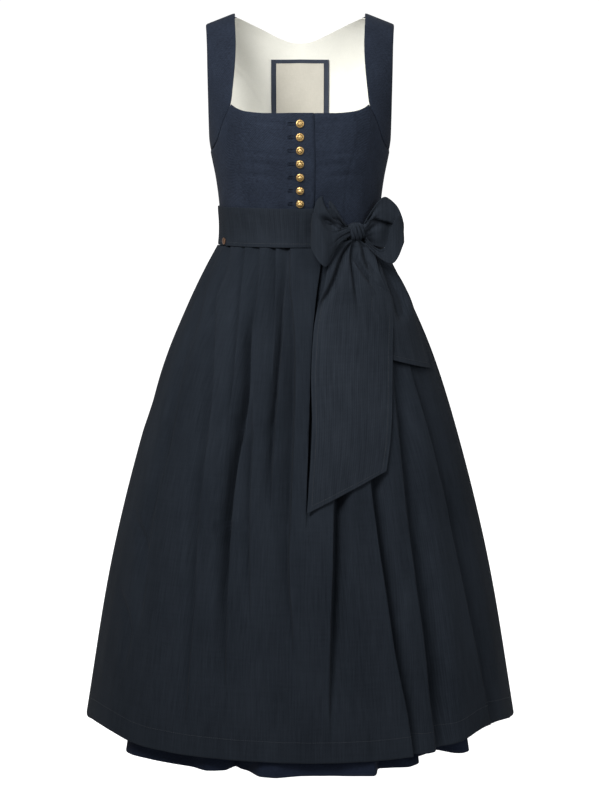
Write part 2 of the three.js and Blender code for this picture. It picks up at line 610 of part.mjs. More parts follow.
function skirtPoint(degrees, z) {
  const { x, y, out } = hullPoint(SKIRT_SECTIONS, degrees, z);
  const recess = skirtRecess(degrees, z);
  return new THREE.Vector3(x - out.x * recess, y - out.y * recess, z);
}

// Grid columns of the back half: each pleat's own, mirrored about the middle of the back.
function backColumns() {
  const half = [];
  for (let pleat = 0; pleat < 8; pleat += 1) {
    for (const phase of PLEAT_COLUMNS) half.push((pleat - PLEAT_START + 1 - phase) * PLEAT_ANGLE);
  }
  const kept = half.filter((a) => a > 0.5 && a < 88.5).sort((a, b) => a - b);
  return [90, ...kept.slice().reverse().map((a) => 180 - a), 180, ...kept.map((a) => 180 + a), 270];
}

function frontColumns() {
  const angles = [];
  for (let i = -27; i <= 27; i += 1) angles.push((i * 90) / 27);
  return angles;
}

function skirtPanel(columns, seamY) {
  const grid = SKIRT_ROWS.map((z) => columns.map((angle) => skirtPoint(angle, z)));
  return wallFromGrid(grid, SKIRT_WALL, { onSeam: (i, j) => j % (columns.length - 1) === 0, seamY });
}

// ---------------------------------------------------------------- apron
function apronRecess(across, z) {
  const pleats = 90 / PLEAT_ANGLE;
  const phase = -(Math.abs(across) * pleats + PLEAT_START);
  return fromRows(PLEAT_STEP, 'rise', z) * (1 - pleatRise(phase)) + apronFolds(across, z);
}

function apronPoint(across, z) {
  const degrees = across * fromRows(APRON_REACH, 'angle', z);
  const { x, y, out } = hullPoint(SKIRT_SECTIONS, degrees, z);
  const lift = APRON_LIFT - apronRecess(across, z);
  return new THREE.Vector3(x + out.x * lift, y + out.y * lift, z);
}

function apronColumns() {
  const half = [];
  const pleats = 90 / PLEAT_ANGLE;
  for (let pleat = 0; pleat < 8; pleat += 1) {
    for (const phase of PLEAT_COLUMNS) half.push((pleat - PLEAT_START + 1 - phase) / pleats);
  }
  const kept = half.filter((u) => u > 0.01 && u < 0.985).sort((a, b) => a - b);
  return [-1, ...kept.slice().reverse().map((u) => -u), 0, ...kept, 1];
}

function apronPanel() {
  const columns = apronColumns();
  const grid = APRON_ROWS.map((z) => columns.map((u) => {
    const share = (z - APRON_HEM_Z) / (WAIST_Z - APRON_HEM_Z);
    return apronPoint(u, z + (1 - share) * fromRows(APRON_EDGE, 'rise', Math.abs(u)));
  }));
  return wallFromGrid(grid, APRON_WALL);
}

// Half of the band round the waist, over the bodice.
function waistBand(from, to, seamY) {
  const rows = [WAIST_Z, -330, -310, BAND_TOP_Z];
  const steps = 30;
  const grid = rows.map((z) => Array.from({ length: steps + 1 }, (_, j) => bodicePoint(lerp(from, to, j / steps), z)));
  const overFront = (i, j) => {
    const degrees = lerp(from, to, j / steps);
    return BAND_LIFT + OVERLAP.lift * ramp((32 - Math.abs(degrees)) / 14);
  };
  return wallFromGrid(grid, BAND_WALL, { lift: overFront, onSeam: (i, j) => j % steps === 0, seamY });
}

// ---------------------------------------------------------------- bow
function knot() {
  const geometry = new THREE.SphereGeometry(1, 18, 12);
  const position = geometry.getAttribute('position');
  const point = new THREE.Vector3();
  for (let i = 0; i < position.count; i += 1) {
    point.fromBufferAttribute(position, i);
    const groove = 1 - 0.07 * (0.5 + 0.5 * Math.cos(point.x * 9 + point.y * 2.5)) * (1 - Math.abs(point.y) ** 4);
    const square = (v) => Math.sign(v) * Math.abs(v) ** 0.8;
    position.setXYZ(
      i,
      square(point.x) * KNOT.halfWidth,
      square(point.z) * KNOT.halfDepth * groove,
      square(point.y) * KNOT.halfHeight * groove,
    );
  }
  const flat = flatIndexed(geometry);
  flat.rotateZ(KNOT.facing * DEGREES);
  flat.translate(KNOT.x, KNOT.y, KNOT.z);
  return flat;
}

// Positions only, with the triangles' order turned where an axis swap made them face inwards.
function flatIndexed(geometry) {
  const positions = Array.from(geometry.getAttribute('position').array);
  const index = Array.from(geometry.getIndex().array);
  for (let i = 0; i < index.length; i += 3) [index[i + 1], index[i + 2]] = [index[i + 2], index[i + 1]];
  return geometryFrom(positions, index);
}

// One loop: a strip from its table, crowned a little along its front.
function loop(stations) {
  const heights = [0, 1 / 6, 1 / 3, 0.5, 2 / 3, 5 / 6, 1];
  const grid = heights.map((v) => stations.map(({ x, y, topZ, lowZ }) => new THREE.Vector3(x, y, lerp(lowZ, topZ, v))));
  const crown = (i, j) => -2.5 * Math.sin(heights[i] * Math.PI) * Math.sin(Math.min(1, j / 5) * Math.PI);
  return wallFromGrid(grid, SASH_WALL, { lift: crown });
}

// A hanging end that lies on the apron, with soft folds across it near the knot.
function hangingEnd(rows) {
  const shares = [0, 0.12, 0.25, 0.38, 0.5, 0.62, 0.75, 0.88, 1];
  const grid = rows.map((row) => shares.map((share) => {
    const x = lerp(row.leftX, row.rightX, share);
    const z = lerp(row.leftZ, row.rightZ, share);
    const degrees = angleAt(SKIRT_SECTIONS, x, z, false);
    const { out } = hullPoint(SKIRT_SECTIONS, degrees, z);
    const lift = row.lift + row.fold * (0.5 - 0.5 * Math.cos(share * END_FOLDS * 2 * Math.PI));
    return new THREE.Vector3(x + out.x * lift, -depthAt(SKIRT_SECTIONS, x, z, false) + out.y * lift, z);
  }));
  return wallFromGrid(grid, SASH_WALL);
}

// ---------------------------------------------------------------- metal pieces
// A domed metal disc with its flat back at the origin and its face along +Y.
function domedDisc(radius, height, rim) {
  const profile = [
    new THREE.Vector2(0, 0),
    new THREE.Vector2(radius * 0.86, 0),
    new THREE.Vector2(radius, rim * 0.5),
    new THREE.Vector2(radius * 0.94, rim),
    new THREE.Vector2(radius * 0.6, lerp(rim, height, 0.72)),
    new THREE.Vector2(0, height),
  ];
  return new THREE.LatheGeometry(profile, 12);
}

function button(z) {
  const geometry = domedDisc(BUTTONS.radius, BUTTONS.height, 1.6);
  const rise = 4;
  const lean = (depthAt(BODICE_SECTIONS, 0, z + rise, false) - depthAt(BODICE_SECTIONS, 0, z - rise, false)) / (2 * rise);
  geometry.rotateX(Math.PI + Math.atan(lean));
  geometry.translate(0, -depthAt(BODICE_SECTIONS, 0, z, false) - OVERLAP.lift - SEAM_GAP - 0.1, z);
  return geometry;
}

function stud() {
  const geometry = domedDisc(STUD.radius, STUD.height, 1);
  const degrees = angleAt(BODICE_SECTIONS, STUD.x, STUD.z, false);
  const { x, y, out } = hullPoint(BODICE_SECTIONS, degrees, STUD.z);
  const lift = BAND_LIFT + SEAM_GAP + 0.1;
  geometry.rotateX(Math.PI);
  geometry.rotateZ(Math.atan2(out.x, -out.y));
  geometry.translate(x + out.x * lift, y + out.y * lift, STUD.z);
  return geometry;
}

// ---------------------------------------------------------------- the garment
const dirndl = new THREE.Group();

function add(name, geometry, colour, metal = false) {
  const material = new THREE.MeshStandardMaterial({
    color: colour,
    roughness: metal ? 0.35 : 0.85,
    metalness: metal ? 1 : 0,
  });
  const mesh = new THREE.Mesh(geometry, material);
  mesh.name = name;
  dirndl.add(mesh);
}

const strapPiece = strap();
const sideBackPiece = sideBack();
const patchDepth = LINING_DEPTH + LINING_WALL + 1.4;
const labelDepth = patchDepth + LABEL_PATCH.wall + 0.9;

add('bodice_front_left', bodiceFront(OVERLAP.under, false), COLOURS.navy);
add('bodice_front_right', mirrored(bodiceFront(OVERLAP.over, true)), COLOURS.navy);
add('strap_left', strapPiece, COLOURS.navy);
add('strap_right', mirrored(strapPiece), COLOURS.navy);
add('bodice_back_centre', backCentre(), COLOURS.navy);
add('bodice_back_side_left', sideBackPiece, COLOURS.navy);
add('bodice_back_side_right', mirrored(sideBackPiece), COLOURS.navy);
add('back_lining', backLining(), COLOURS.cream);
add('label_patch', insideBack(LABEL_PATCH, patchDepth), COLOURS.navy);
add('label', insideBack(LABEL, labelDepth), COLOURS.label);
for (let i = 0; i < BUTTONS.count; i += 1) {
  add(`button_${i + 1}`, button(BUTTONS.topZ - i * BUTTONS.pitch), COLOURS.brass, true);
}
add('skirt_front', skirtPanel(frontColumns(), -SEAM_GAP / 2), COLOURS.navy);
add('skirt_back', skirtPanel(backColumns(), SEAM_GAP / 2), COLOURS.navy);
add('apron_panel', apronPanel(), COLOURS.charcoal);
add('apron_band', waistBand(-90, 90, -SEAM_GAP / 2), COLOURS.charcoal);
add('apron_tie_back', waistBand(90, 270, SEAM_GAP / 2), COLOURS.charcoal);
add('bow_knot', knot(), COLOURS.charcoal);
add('bow_loop_left', loop(LEFT_LOOP), COLOURS.charcoal);
add('bow_loop_right', loop(RIGHT_LOOP), COLOURS.charcoal);
add('bow_end_long', hangingEnd(LONG_END), COLOURS.charcoal);
add('bow_end_short', hangingEnd(SHORT_END), COLOURS.charcoal);
add('band_stud', stud(), COLOURS.brass, true);

export default dirndl;
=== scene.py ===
"""A worn dirndl: bodice with wide straps and seven buttons, pleated skirt, apron with its band and bow.

Every shape is a surface of two parameters worked out in whole arrays, in millimetres, +Z up and +Y to the
back, and goes into its mesh in metres. Angles are in degrees from the front, + towards +X.
"""

import math

import bpy
import numpy as np
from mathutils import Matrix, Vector


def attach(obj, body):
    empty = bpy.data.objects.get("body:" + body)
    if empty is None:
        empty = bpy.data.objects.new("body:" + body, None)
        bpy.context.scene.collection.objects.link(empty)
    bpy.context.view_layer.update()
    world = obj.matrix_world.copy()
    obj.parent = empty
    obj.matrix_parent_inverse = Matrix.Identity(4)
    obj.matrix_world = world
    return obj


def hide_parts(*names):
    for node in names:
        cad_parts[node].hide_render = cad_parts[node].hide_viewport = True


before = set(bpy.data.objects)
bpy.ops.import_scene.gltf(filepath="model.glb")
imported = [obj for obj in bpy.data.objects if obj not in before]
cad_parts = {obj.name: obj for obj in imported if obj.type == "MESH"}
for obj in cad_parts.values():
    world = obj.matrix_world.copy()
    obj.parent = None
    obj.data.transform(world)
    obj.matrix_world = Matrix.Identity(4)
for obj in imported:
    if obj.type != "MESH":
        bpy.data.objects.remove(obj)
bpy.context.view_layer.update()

# ------------------------------------------------------------------ sizes
# Sections, walls and pleats are those of the part's source, which has fewer rows for its folds and edges.
SQUARENESS = 2.2
WAIST, BAND_TOP, HEM, APRON_HEM, UNDERARM = -350.0, -291.0, -1112.0, -1089.0, -206.0
NECK_FRONT, BAND_STITCHES = -151.0, -344.5
BUTTONS, BUTTON_TOP, BUTTON_PITCH = 7, -167.0, 19.6
BODICE_WALL, SKIRT_WALL, APRON_WALL, BAND_WALL, SASH_WALL = 1.6, 1.4, 1.3, 2.0, 1.3
BAND_LIFT, SEAM_GAP, LINING_DEPTH, OVERLAP_LIFT = 2.8, 0.3, 2.6, 2.1

# (height, half width, depth of the front, depth of the back)
BODICE = np.array([(-350, 124.5, 98, 84), (-330, 123, 99, 83), (-291, 124.5, 107, 86), (-250, 129.5, 117, 92),
                   (-206, 138, 123, 98), (-175, 143, 122, 99), (-130, 150, 115, 98), (-70, 161, 100, 93),
                   (2, 168, 82, 84)], float)
SKIRT = np.array([(-1112, 342, 285, 298), (-842, 294.5, 248, 257), (-643, 244, 205, 211),
                  (-516, 203, 169, 171), (-437, 169, 139, 138), (-380, 141, 113, 106),
                  (-350, 124.5, 98, 84)], float)
# (angle, how far the hem lies inside the crests)
HEM_FOLDS = [(-90, 0), (-88, 8.5), (-84, 22), (-80, 32.5), (-76, 40), (-72, 45), (-67, 48), (-62.3, 47),
             (-61.3, 44), (-60, 28), (-57.5, 19), (-54.1, 17), (-47.2, 21), (-40, 24), (-33, 24),
             (-28.6, 14.8), (-25.6, 19), (-22.4, 26.6), (-21.6, 45.5), (-20.5, 45.5), (-19.3, 37.7),
             (-16, 29), (-12.6, 8), (-11.6, 5), (-7.1, 2), (0, 12), (9.2, 11.6), (17.8, 5), (21.8, 0.5),
             (22.6, 3), (24.4, 31), (25.6, 31.2), (29.1, 28), (33.8, 21.8), (37.6, 29), (38.6, 34),
             (40.5, 56), (43.3, 58), (49.5, 66), (50.8, 64), (51.9, 39), (54, 27), (57, 25.6),
             (58.6, 32), (60.5, 54), (64, 60), (70, 59), (76.8, 53.6), (81.6, 43.5), (86.4, 24.3),
             (90, 0), (96, 8), (101, 40), (107, 34), (112, 7), (117, 6), (122, 34), (128, 20), (133, 5),
             (137, 9), (141, 46), (147, 38), (152, 6), (156, 6), (160, 32), (165, 22), (170, 5),
             (174, 10), (179, 48), (185, 38), (190, 6), (195, 7), (199, 36), (205, 22), (210, 4),
             (215, 10), (219, 44), (225, 34), (230, 5), (234, 7), (238, 30), (243, 18), (249, 4),
             (254, 12), (258, 40), (263, 24), (267, 3), (270, 0)]
# Pleats: the angle from one to the next, and the shares of one at the middle of a panel and at its fold
PLEAT_ANGLE, PLEAT_START, PLEAT_FOLD = 13.6, 0.47, 0.9
# (height, how far a pleat climbs), then (height, how far the skirt keeps inside the apron)
PLEAT_STEP = [(-800, 0), (-640, 1.5), (-520, 5), (-430, 6.5), (-380, 4), (-350, 1.2)]
CLEARANCE = [(-1112, 1), (-1050, 2), (-800, 4), (-500, 3), (-400, 1.2), (-350, 0.5)]
APRON_REACH, APRON_LIFT = 88.0, 3.0
# (x, height) of the apron's lower edge
APRON_EDGE = [(-345, -1096), (-334, -1090), (-322, -1082), (-307, -1079), (-289, -1079), (-272, -1081),
              (-253, -1084), (-195, -1085.5), (-82, -1086.6), (0, -1088.3), (142, -1088.5), (177, -1088),
              (218, -1084), (236, -1081), (253, -1077), (268, -1073), (282, -1070.5), (296, -1072),
              (308, -1074), (322, -1079), (338, -1093), (345, -1097)]
# Every pleat and fold of the apron: over how far it drops at its edge, how far it takes to rise again,
# to which side it lies, and rows of (height, x of the edge, depth).
APRON_FOLDS = [
    (3.0, 13, -1, [(-1000, -107, 0), (-900, -106.5, 10), (-810, -103, 22), (-725, -98, 27), (-669, -91, 27),
                   (-605, -80, 26), (-562, -73.5, 24), (-498, -71.5, 21), (-469, -70, 14), (-433, -64, 7),
                   (-397, -61, 7), (-350, -59.3, 6)]),
    (2.5, 9, -1, [(-900, -70, 0), (-820, -72, 5), (-724, -72, 8), (-633, -69, 8), (-593, -69, 4),
                  (-560, -69, 0)]),
    (1.2, 9, -1, [(-560, -42.6, 0), (-487, -39, 4), (-401, -35.7, 7), (-350, -35.9, 6)]),
    (2.4, 8, -1, [(-740, -42, 0), (-660, -39.5, 9), (-606, -35.5, 14), (-527, -29, 14), (-473, -25, 12),
                  (-428, -23.5, 8), (-390, -19, 3), (-350, -17, 2)]),
    (3.0, 14, -1, [(-960, -9, 0), (-888, -10, 6), (-819, -15, 10), (-710, -11.7, 12), (-606, -7.9, 13),
                   (-500, -6, 12), (-447, -8.9, 10), (-408, -13.1, 8), (-350, -13.5, 6)]),
    (2.0, 9, 1, [(-760, 8, 0), (-700, 9.5, 8), (-650, 11.5, 13), (-580, 14, 14), (-500, 17, 13),
                 (-420, 24, 10), (-380, 30, 7), (-350, 33, 5)]),
    (1.2, 9, -1, [(-630, -110, 0), (-568, -101, 5), (-501, -95, 7), (-448, -91, 7), (-408, -87, 7),
                  (-350, -82, 6)]),
    (4.0, 16, -1, [(-1060, -167, 0), (-978, -162, 5), (-855, -153, 10), (-731, -147, 13), (-610, -133, 13),
                   (-556, -128, 12), (-476, -125, 9), (-423, -123, 8), (-392, -110, 7), (-350, -103, 6)]),
    (9.0, 20, -1, [(-930, -236, 0), (-871, -230, 3), (-741, -215, 6), (-638, -189, 6), (-539, -173, 6),
                   (-456, -148, 5), (-397, -135, 4), (-350, -114, 2)]),
    (9.0, 18, -1, [(-640, -240, 0), (-593, -223, 3), (-522, -193, 3.5), (-474, -175, 2), (-440, -160, 0)]),
    (8.0, 15, -1, [(-900, -231, 0), (-871, -229, 2), (-813, -225, 4.5), (-779, -232, 4), (-741, -248, 0)]),
    (8.0, 15, -1, [(-1010, -270, 0), (-965, -256, 2), (-922, -250, 5), (-895, -255, 4), (-862, -271, 0)]),
    (7.0, 12, -1, [(-1040, -18, 0), (-1000, -19, 4), (-970, -17, 0)]),
    (5.0, 14, 1, [(-1060, 41, 0), (-970, 42, 12), (-891, 44, 21), (-807, 47, 24), (-715, 49, 22),
                  (-668, 52, 16), (-600, 55, 5), (-540, 57, 0)]),
    (5.5, 14, 1, [(-1112, 169, 7), (-1060, 162, 15), (-1027, 157, 18), (-939, 139, 21), (-853, 126, 22),
                  (-769, 113, 22), (-684, 102, 19), (-627, 96, 14), (-560, 90, 7), (-480, 84, 3),
                  (-350, 70, 2)]),
    (13.0, 24, 1, [(-1112, 199, 8), (-1060, 196, 18), (-1011, 190, 28), (-923, 181, 29), (-829, 168, 25),
                   (-731, 155, 18), (-616, 143, 15), (-530, 133, 10), (-440, 118, 5), (-350, 92, 2)]),
    (2.5, 44, 1, [(-1100, 294, 4), (-1040, 282, 12), (-944, 263, 16), (-804, 233, 16), (-722, 216, 14),
                  (-636, 195, 11), (-540, 168, 7), (-440, 142, 4), (-350, 107, 2)]),
    (1.2, 11, 1, [(-520, 62, 0), (-430, 48, 4), (-350, 38, 4)])]
NECKLINE = [(0, -151), (22, -151), (40, -151), (60, -150.6), (82, -148), (95, -143.5), (103.4, -137.8)]
STRAP_SEAM = [(103.4, -137.8), (112.0, -155.4), (119, -172.4), (124, -188.4), (131.1, -201.7),
              (136.8, -205.7)]
# (inner x, inner z, outer x, outer z), from the underarm up
STRAP = [(131.9, -201, 136.8, -205), (124.8, -188, 138.8, -190), (119.8, -172, 139.2, -172),
         (112.8, -155, 139.4, -152), (104.1, -137.6, 139.6, -130), (100.5, -112, 140, -106),
         (97.5, -80, 140.6, -80), (96.5, -52, 141.2, -57), (97.5, -28, 142.2, -38), (98.7, -12, 143.2, -25),
         (99.6, -3, 143.8, -19)]
BACK_NECK = [(0, -40), (15, -38.5), (32, -32.5), (62, -18), (99.8, -1.3)]
# (height, x) of the curved back seam, then of the back of the armhole
BACK_EDGE = [(-350, 36), (-328, 37.3), (-300, 39), (-275, 41.3), (-250, 44), (-222, 47.5), (-200, 50.5),
             (-186, 52.5), (-170, 54.8), (-150, 58.5), (-130, 65), (-110, 77), (-95, 89), (-84, 104),
             (-77.5, 116), (-71, 129.5), (-54, 132.5), (-35, 138), (-18.9, 144)]
# (height, x) of the back lining's side edge
LINING_EDGE = [(-344, 121), (-300, 121.5), (-250, 125), (-210, 127), (-175, 122), (-142, 120.5), (-112, 120),
               (-86, 121.5), (-62, 127), (-42, 133), (-20.5, 141.5)]
# (x, height) of the armhole's back edge, from the side seam up
SIDE_BACK_EDGE = [(137.8, -206.5), (137.2, -198), (133.5, -188), (129.5, -168), (127.5, -143), (127, -118),
                  (127.2, -99), (128, -84), (129.4, -73)]
KNOT, KNOT_HALF, KNOT_TURN = (84.0, -92.0, -326.5), (15.2, 10.2, 13.8), math.radians(35)


# ------------------------------------------------------------------ curves and surfaces
def ramp(t):
    """0 to 1 with level ends."""
    s = np.clip(t, 0, 1)
    return s * s * (3 - 2 * s)


def mix(a, b, t):
    """a to b along a straight line."""
    return a + (b - a) * t


def bump(x, centre, width):
    """A bell of height 1: e to the minus square of the distance in widths."""
    return np.exp(-((x - centre) / width) ** 2)


def through(rows, at, column=1):
    """A smooth curve through (place, value) rows: cubics whose slope at a row is the mean of both sides'."""
    table = np.asarray(rows, float)
    place, value = table[:, 0], table[:, column]
    slope = np.diff(value) / np.diff(place)
    tangent = np.concatenate([slope[:1], (slope[:-1] + slope[1:]) / 2, slope[-1:]])
    where = np.clip(at, place[0], place[-1])
    i = np.clip(np.searchsorted(place, where) - 1, 0, len(place) - 2)
    span = place[i + 1] - place[i]
    t = (where - place[i]) / span
    return ((2 * t**3 - 3 * t**2 + 1) * value[i] + (t**3 - 2 * t**2 + t) * span * tangent[i]
            + (3 * t**2 - 2 * t**3) * value[i + 1] + (t**3 - t**2) * span * tangent[i + 1])


def path(points, t):
    """A smooth curve through points, one unit of t to each stretch between two of them."""
    table = np.asarray(points, float)
    rows = np.column_stack([np.arange(len(table)), table])
    return [through(rows, t, k + 1) for k in range(table.shape[1])]


def along(points, share):
    """A smooth curve through points, read at shares 0 to 1 of its length."""
    fine = np.linspace(0, len(points) - 1, 400)
    values = np.column_stack(path(points, fine))
    length = np.concatenate([[0], np.cumsum(np.linalg.norm(np.diff(values, axis=0), axis=1))])
    return [np.interp(share * length[-1], length, values[:, k]) for k in range(values.shape[1])]


def hull(sections, angle, z):
    """A cross-section and its normal: 1 over the power mean of sine over half width and cosine over depth."""
    sine, cosine = np.sin(np.radians(angle)), np.cos(np.radians(angle))
    side = through(sections, z, 1)
    depth = np.where(cosine < 0, through(sections, z, 3), through(sections, z, 2))
    radius = (np.abs(sine / side) ** SQUARENESS + np.abs(cosine / depth) ** SQUARENESS) ** (-1 / SQUARENESS)
    x, y = radius * sine, -radius * cosine
    out_x = np.sign(x) * np.abs(x) ** (SQUARENESS - 1) / side ** SQUARENESS
    out_y = np.sign(y) * np.abs(y) ** (SQUARENESS - 1) / depth ** SQUARENESS
    length = np.hypot(out_x, out_y)
    return x, y, out_x / length, out_y / length


def depth_at(sections, x, z, back):
    """How far a cross-section lies from the middle at x: depth times (1 - (x/half width)^n)^(1/n)."""
    side, depth = through(sections, z, 1), through(sections, z, 3 if back else 2)
    inside = 1 - np.minimum(1, np.abs(x) / side) ** SQUARENESS
    return depth * inside ** (1 / SQUARENESS)


def angle_at(sections, x, z, back=False):
    """The angle of the point of a cross-section that lies at x."""
    angle = np.degrees(np.arctan2(x, depth_at(sections, x, z, back)))
    return 180 - angle if back else angle


def ridge(x):
    """Height of the top of the shoulder, falling outwards along a straight line."""
    return 1.6 + 0.386 * (100 - np.abs(x))


def over_shoulder(x, y, z, back):
    """Near the ridge the depth closes as a quarter ellipse does."""
    drop = np.clip((ridge(x) - z) / np.where(back, 110, 150), 0, 1)
    return np.stack([x, 8 + (y - 8) * np.sqrt(1 - (1 - drop) ** 2), z + 0 * x], -1)


def bodice_point(angle, z):
    """The bodice's outer surface at an angle and a height."""
    x, y, _, _ = hull(BODICE, angle, z)
    return over_shoulder(x, y, z, np.cos(np.radians(angle)) < 0)


def bodice_at(x, z, back):
    """The bodice's outer surface at x and a height."""
    x, z = np.broadcast_arrays(np.asarray(x, float), np.asarray(z, float))
    depth = depth_at(BODICE, x, z, back)
    return over_shoulder(x, depth if back else -depth, z, back)


def steps(count, fine=(0.004, 0.012, 0.022)):
    """Shares 0 to 1 with closer steps at both ends, where seams and edges turn."""
    fine = np.asarray(fine)
    inside = np.linspace(fine[-1] * 1.7, 1 - fine[-1] * 1.7, count)
    return np.unique(np.concatenate([[0], fine, inside, 1 - fine, [1]]))


def normals(points):
    """Unit normals of a grid: the way across crossed with the way up."""
    across, up = np.gradient(points, axis=1), np.gradient(points, axis=0)
    cross = np.cross(across, up)
    return cross / np.maximum(np.linalg.norm(cross, axis=2, keepdims=True), 1e-9)


def to_edge(points):
    """How far each point of a grid lies from its nearest edge, measured along the rows and the columns."""
    def both(axis):
        step = np.linalg.norm(np.diff(points, axis=axis), axis=2)
        start = np.zeros(points.shape[:2])
        if axis:
            start[:, 1:] = np.cumsum(step, 1)
            return np.minimum(start, start[:, -1:] - start)
        start[1:] = np.cumsum(step, 0)
        return np.minimum(start, start[-1:] - start)
    return both(0), both(1)


def ripples(u, v, size, seed, stretch=1.0):
    """Soft unevenness of about one unit: a sum of nine waves in seeded directions, each about size long."""
    own = np.random.default_rng(seed)
    total = 0 * u
    for turn, pace, start in zip(own.uniform(-0.5, 0.5, 9), own.uniform(0.6, 1.7, 9), own.uniform(0, 6.3, 9)):
        ahead = u * math.cos(turn) + v * math.sin(turn) / stretch
        total = total + np.sin(ahead * pace * 6.28 / size + start)
    return total / 4.5


# ------------------------------------------------------------------ meshes
def build(node, points, faces, uv, finish, slot):
    """A mesh piece from points in mm and arrays of faces, riding on the body in place of its CAD node."""
    name = node + ("_metal" if slot in ("buttons", "stud") else "_cloth")
    mesh = bpy.data.meshes.new(name)
    corners = np.concatenate([f.ravel() for f in faces])
    sizes = np.concatenate([np.full(len(f), f.shape[1]) for f in faces])
    mesh.vertices.add(len(points))
    mesh.vertices.foreach_set("co", (points / 1000).astype(np.float32).ravel())
    mesh.loops.add(len(corners))
    mesh.loops.foreach_set("vertex_index", corners.astype(np.int32))
    mesh.polygons.add(len(sizes))
    mesh.polygons.foreach_set("loop_start", np.concatenate([[0], np.cumsum(sizes)[:-1]]).astype(np.int32))
    mesh.polygons.foreach_set("use_smooth", np.ones(len(sizes), bool))
    layer = mesh.uv_layers.new(name="cloth")
    layer.data.foreach_set("uv", uv[corners].astype(np.float32).ravel())
    mesh.update(calc_edges=True)
    mesh.validate()
    piece = bpy.data.objects.new(name, mesh)
    bpy.context.scene.collection.objects.link(piece)
    piece.data.materials.append(finish)
    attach(piece, "root")
    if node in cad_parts:
        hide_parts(node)
    return piece


def surface_uv(points):
    """Metres along the cloth: mean distance across the columns and up the rows."""
    across = np.linalg.norm(np.diff(points, axis=1), axis=2).mean(0)
    up = np.linalg.norm(np.diff(points, axis=0), axis=2).mean(1)
    u = np.concatenate([[0], np.cumsum(across)])
    v = np.concatenate([[0], np.cumsum(up)])
    return np.stack(np.meshgrid(u, v), -1) / 1000


def hemmed(points, reach):
    """The grid with one more row and column just inside each edge, so that a rim can turn there."""
    def inside(edge, following):
        step = following - edge
        length = np.linalg.norm(step, axis=-1, keepdims=True)
        return (edge + step * np.minimum(0.45, reach / np.maximum(length, 1e-9)))[None]

    for axis in (0, 1):
        grid = np.moveaxis(points, axis, 0)
        near, far = inside(grid[0], grid[1]), inside(grid[-1], grid[-2])
        points = np.moveaxis(np.concatenate([grid[:1], near, grid[1:-1], far, grid[-1:]]), 0, axis)
    return points


def wall(name, points, thickness, finish, slot, lift=0.0, uv=None, tuck=0.0, seam_y=None):
    """A closed wall of cloth: the grid lifted along its normals, the same grid behind it, and rounded rims.

    tuck presses the outer face in over the last two millimetres before each edge, as a seam does.
    seam_y cuts the first and last column square at that y."""
    if np.ndim(lift):
        lift = lift[..., None]
    points = points + normals(points) * lift
    points = hemmed(points, thickness * 0.5)
    outward = normals(points)
    rows, columns = points.shape[:2]
    to_row, to_column = to_edge(points)
    edge = np.minimum(to_row, to_column)
    turned = 0.32 * thickness * (edge < 1e-6)
    pressed = tuck * np.exp(-(edge / 1.8) ** 2)
    outer = points - outward * (turned + pressed)[..., None]
    inner = points - outward * (thickness - turned)[..., None]
    if seam_y is not None:
        outer[:, [0, -1], 1] = seam_y
        inner[:, [0, -1], 1] = seam_y
    uv = surface_uv(points) if uv is None else uv(points)
    index = np.arange(rows * columns).reshape(rows, columns)
    a, b, c, d = index[:-1, :-1], index[:-1, 1:], index[1:, 1:], index[1:, :-1]
    far = rows * columns
    front = np.stack([a, b, c, d], -1).reshape(-1, 4)
    back = np.stack([a, d, c, b], -1).reshape(-1, 4) + far
    rims = [np.stack([index[0, :-1] + far, index[0, 1:] + far, index[0, 1:], index[0, :-1]], -1),
            np.stack([index[-1, :-1], index[-1, 1:], index[-1, 1:] + far, index[-1, :-1] + far], -1),
            np.stack([index[:-1, 0], index[1:, 0], index[1:, 0] + far, index[:-1, 0] + far], -1),
            np.stack([index[:-1, -1] + far, index[1:, -1] + far, index[1:, -1], index[:-1, -1]], -1)]
    both = np.concatenate([outer.reshape(-1, 3), inner.reshape(-1, 3)])
    flat_uv = np.tile(uv.reshape(-1, 2), (2, 1))
    return build(name, both, [np.concatenate([front, back, *rims])], flat_uv, finish, slot)


def mirrored(points):
    """The same grid on the other side of the body, its columns turned round so that it faces outwards."""
    return points[:, ::-1] * np.array([-1, 1, 1])


def rounds(name, points, finish, slot):
    """A closed shape from rings: rows of points that run round, with a point closing each end."""
    rows, columns = points.shape[:2]
    index = np.arange(rows * columns).reshape(rows, columns)
    after = np.roll(index, -1, 1)
    quads = np.stack([index[:-1], after[:-1], after[1:], index[1:]], -1).reshape(-1, 4)
    ends = np.stack([points[0].mean(0), points[-1].mean(0)])
    low, high = rows * columns, rows * columns + 1
    caps = np.concatenate([np.stack([0 * index[0] + low, after[0], index[0]], -1),
                           np.stack([index[-1], after[-1], 0 * index[0] + high], -1)])
    every = np.concatenate([points.reshape(-1, 3), ends])
    return build(name, every, [quads, caps], every[:, [0, 2]] / 1000, finish, slot)


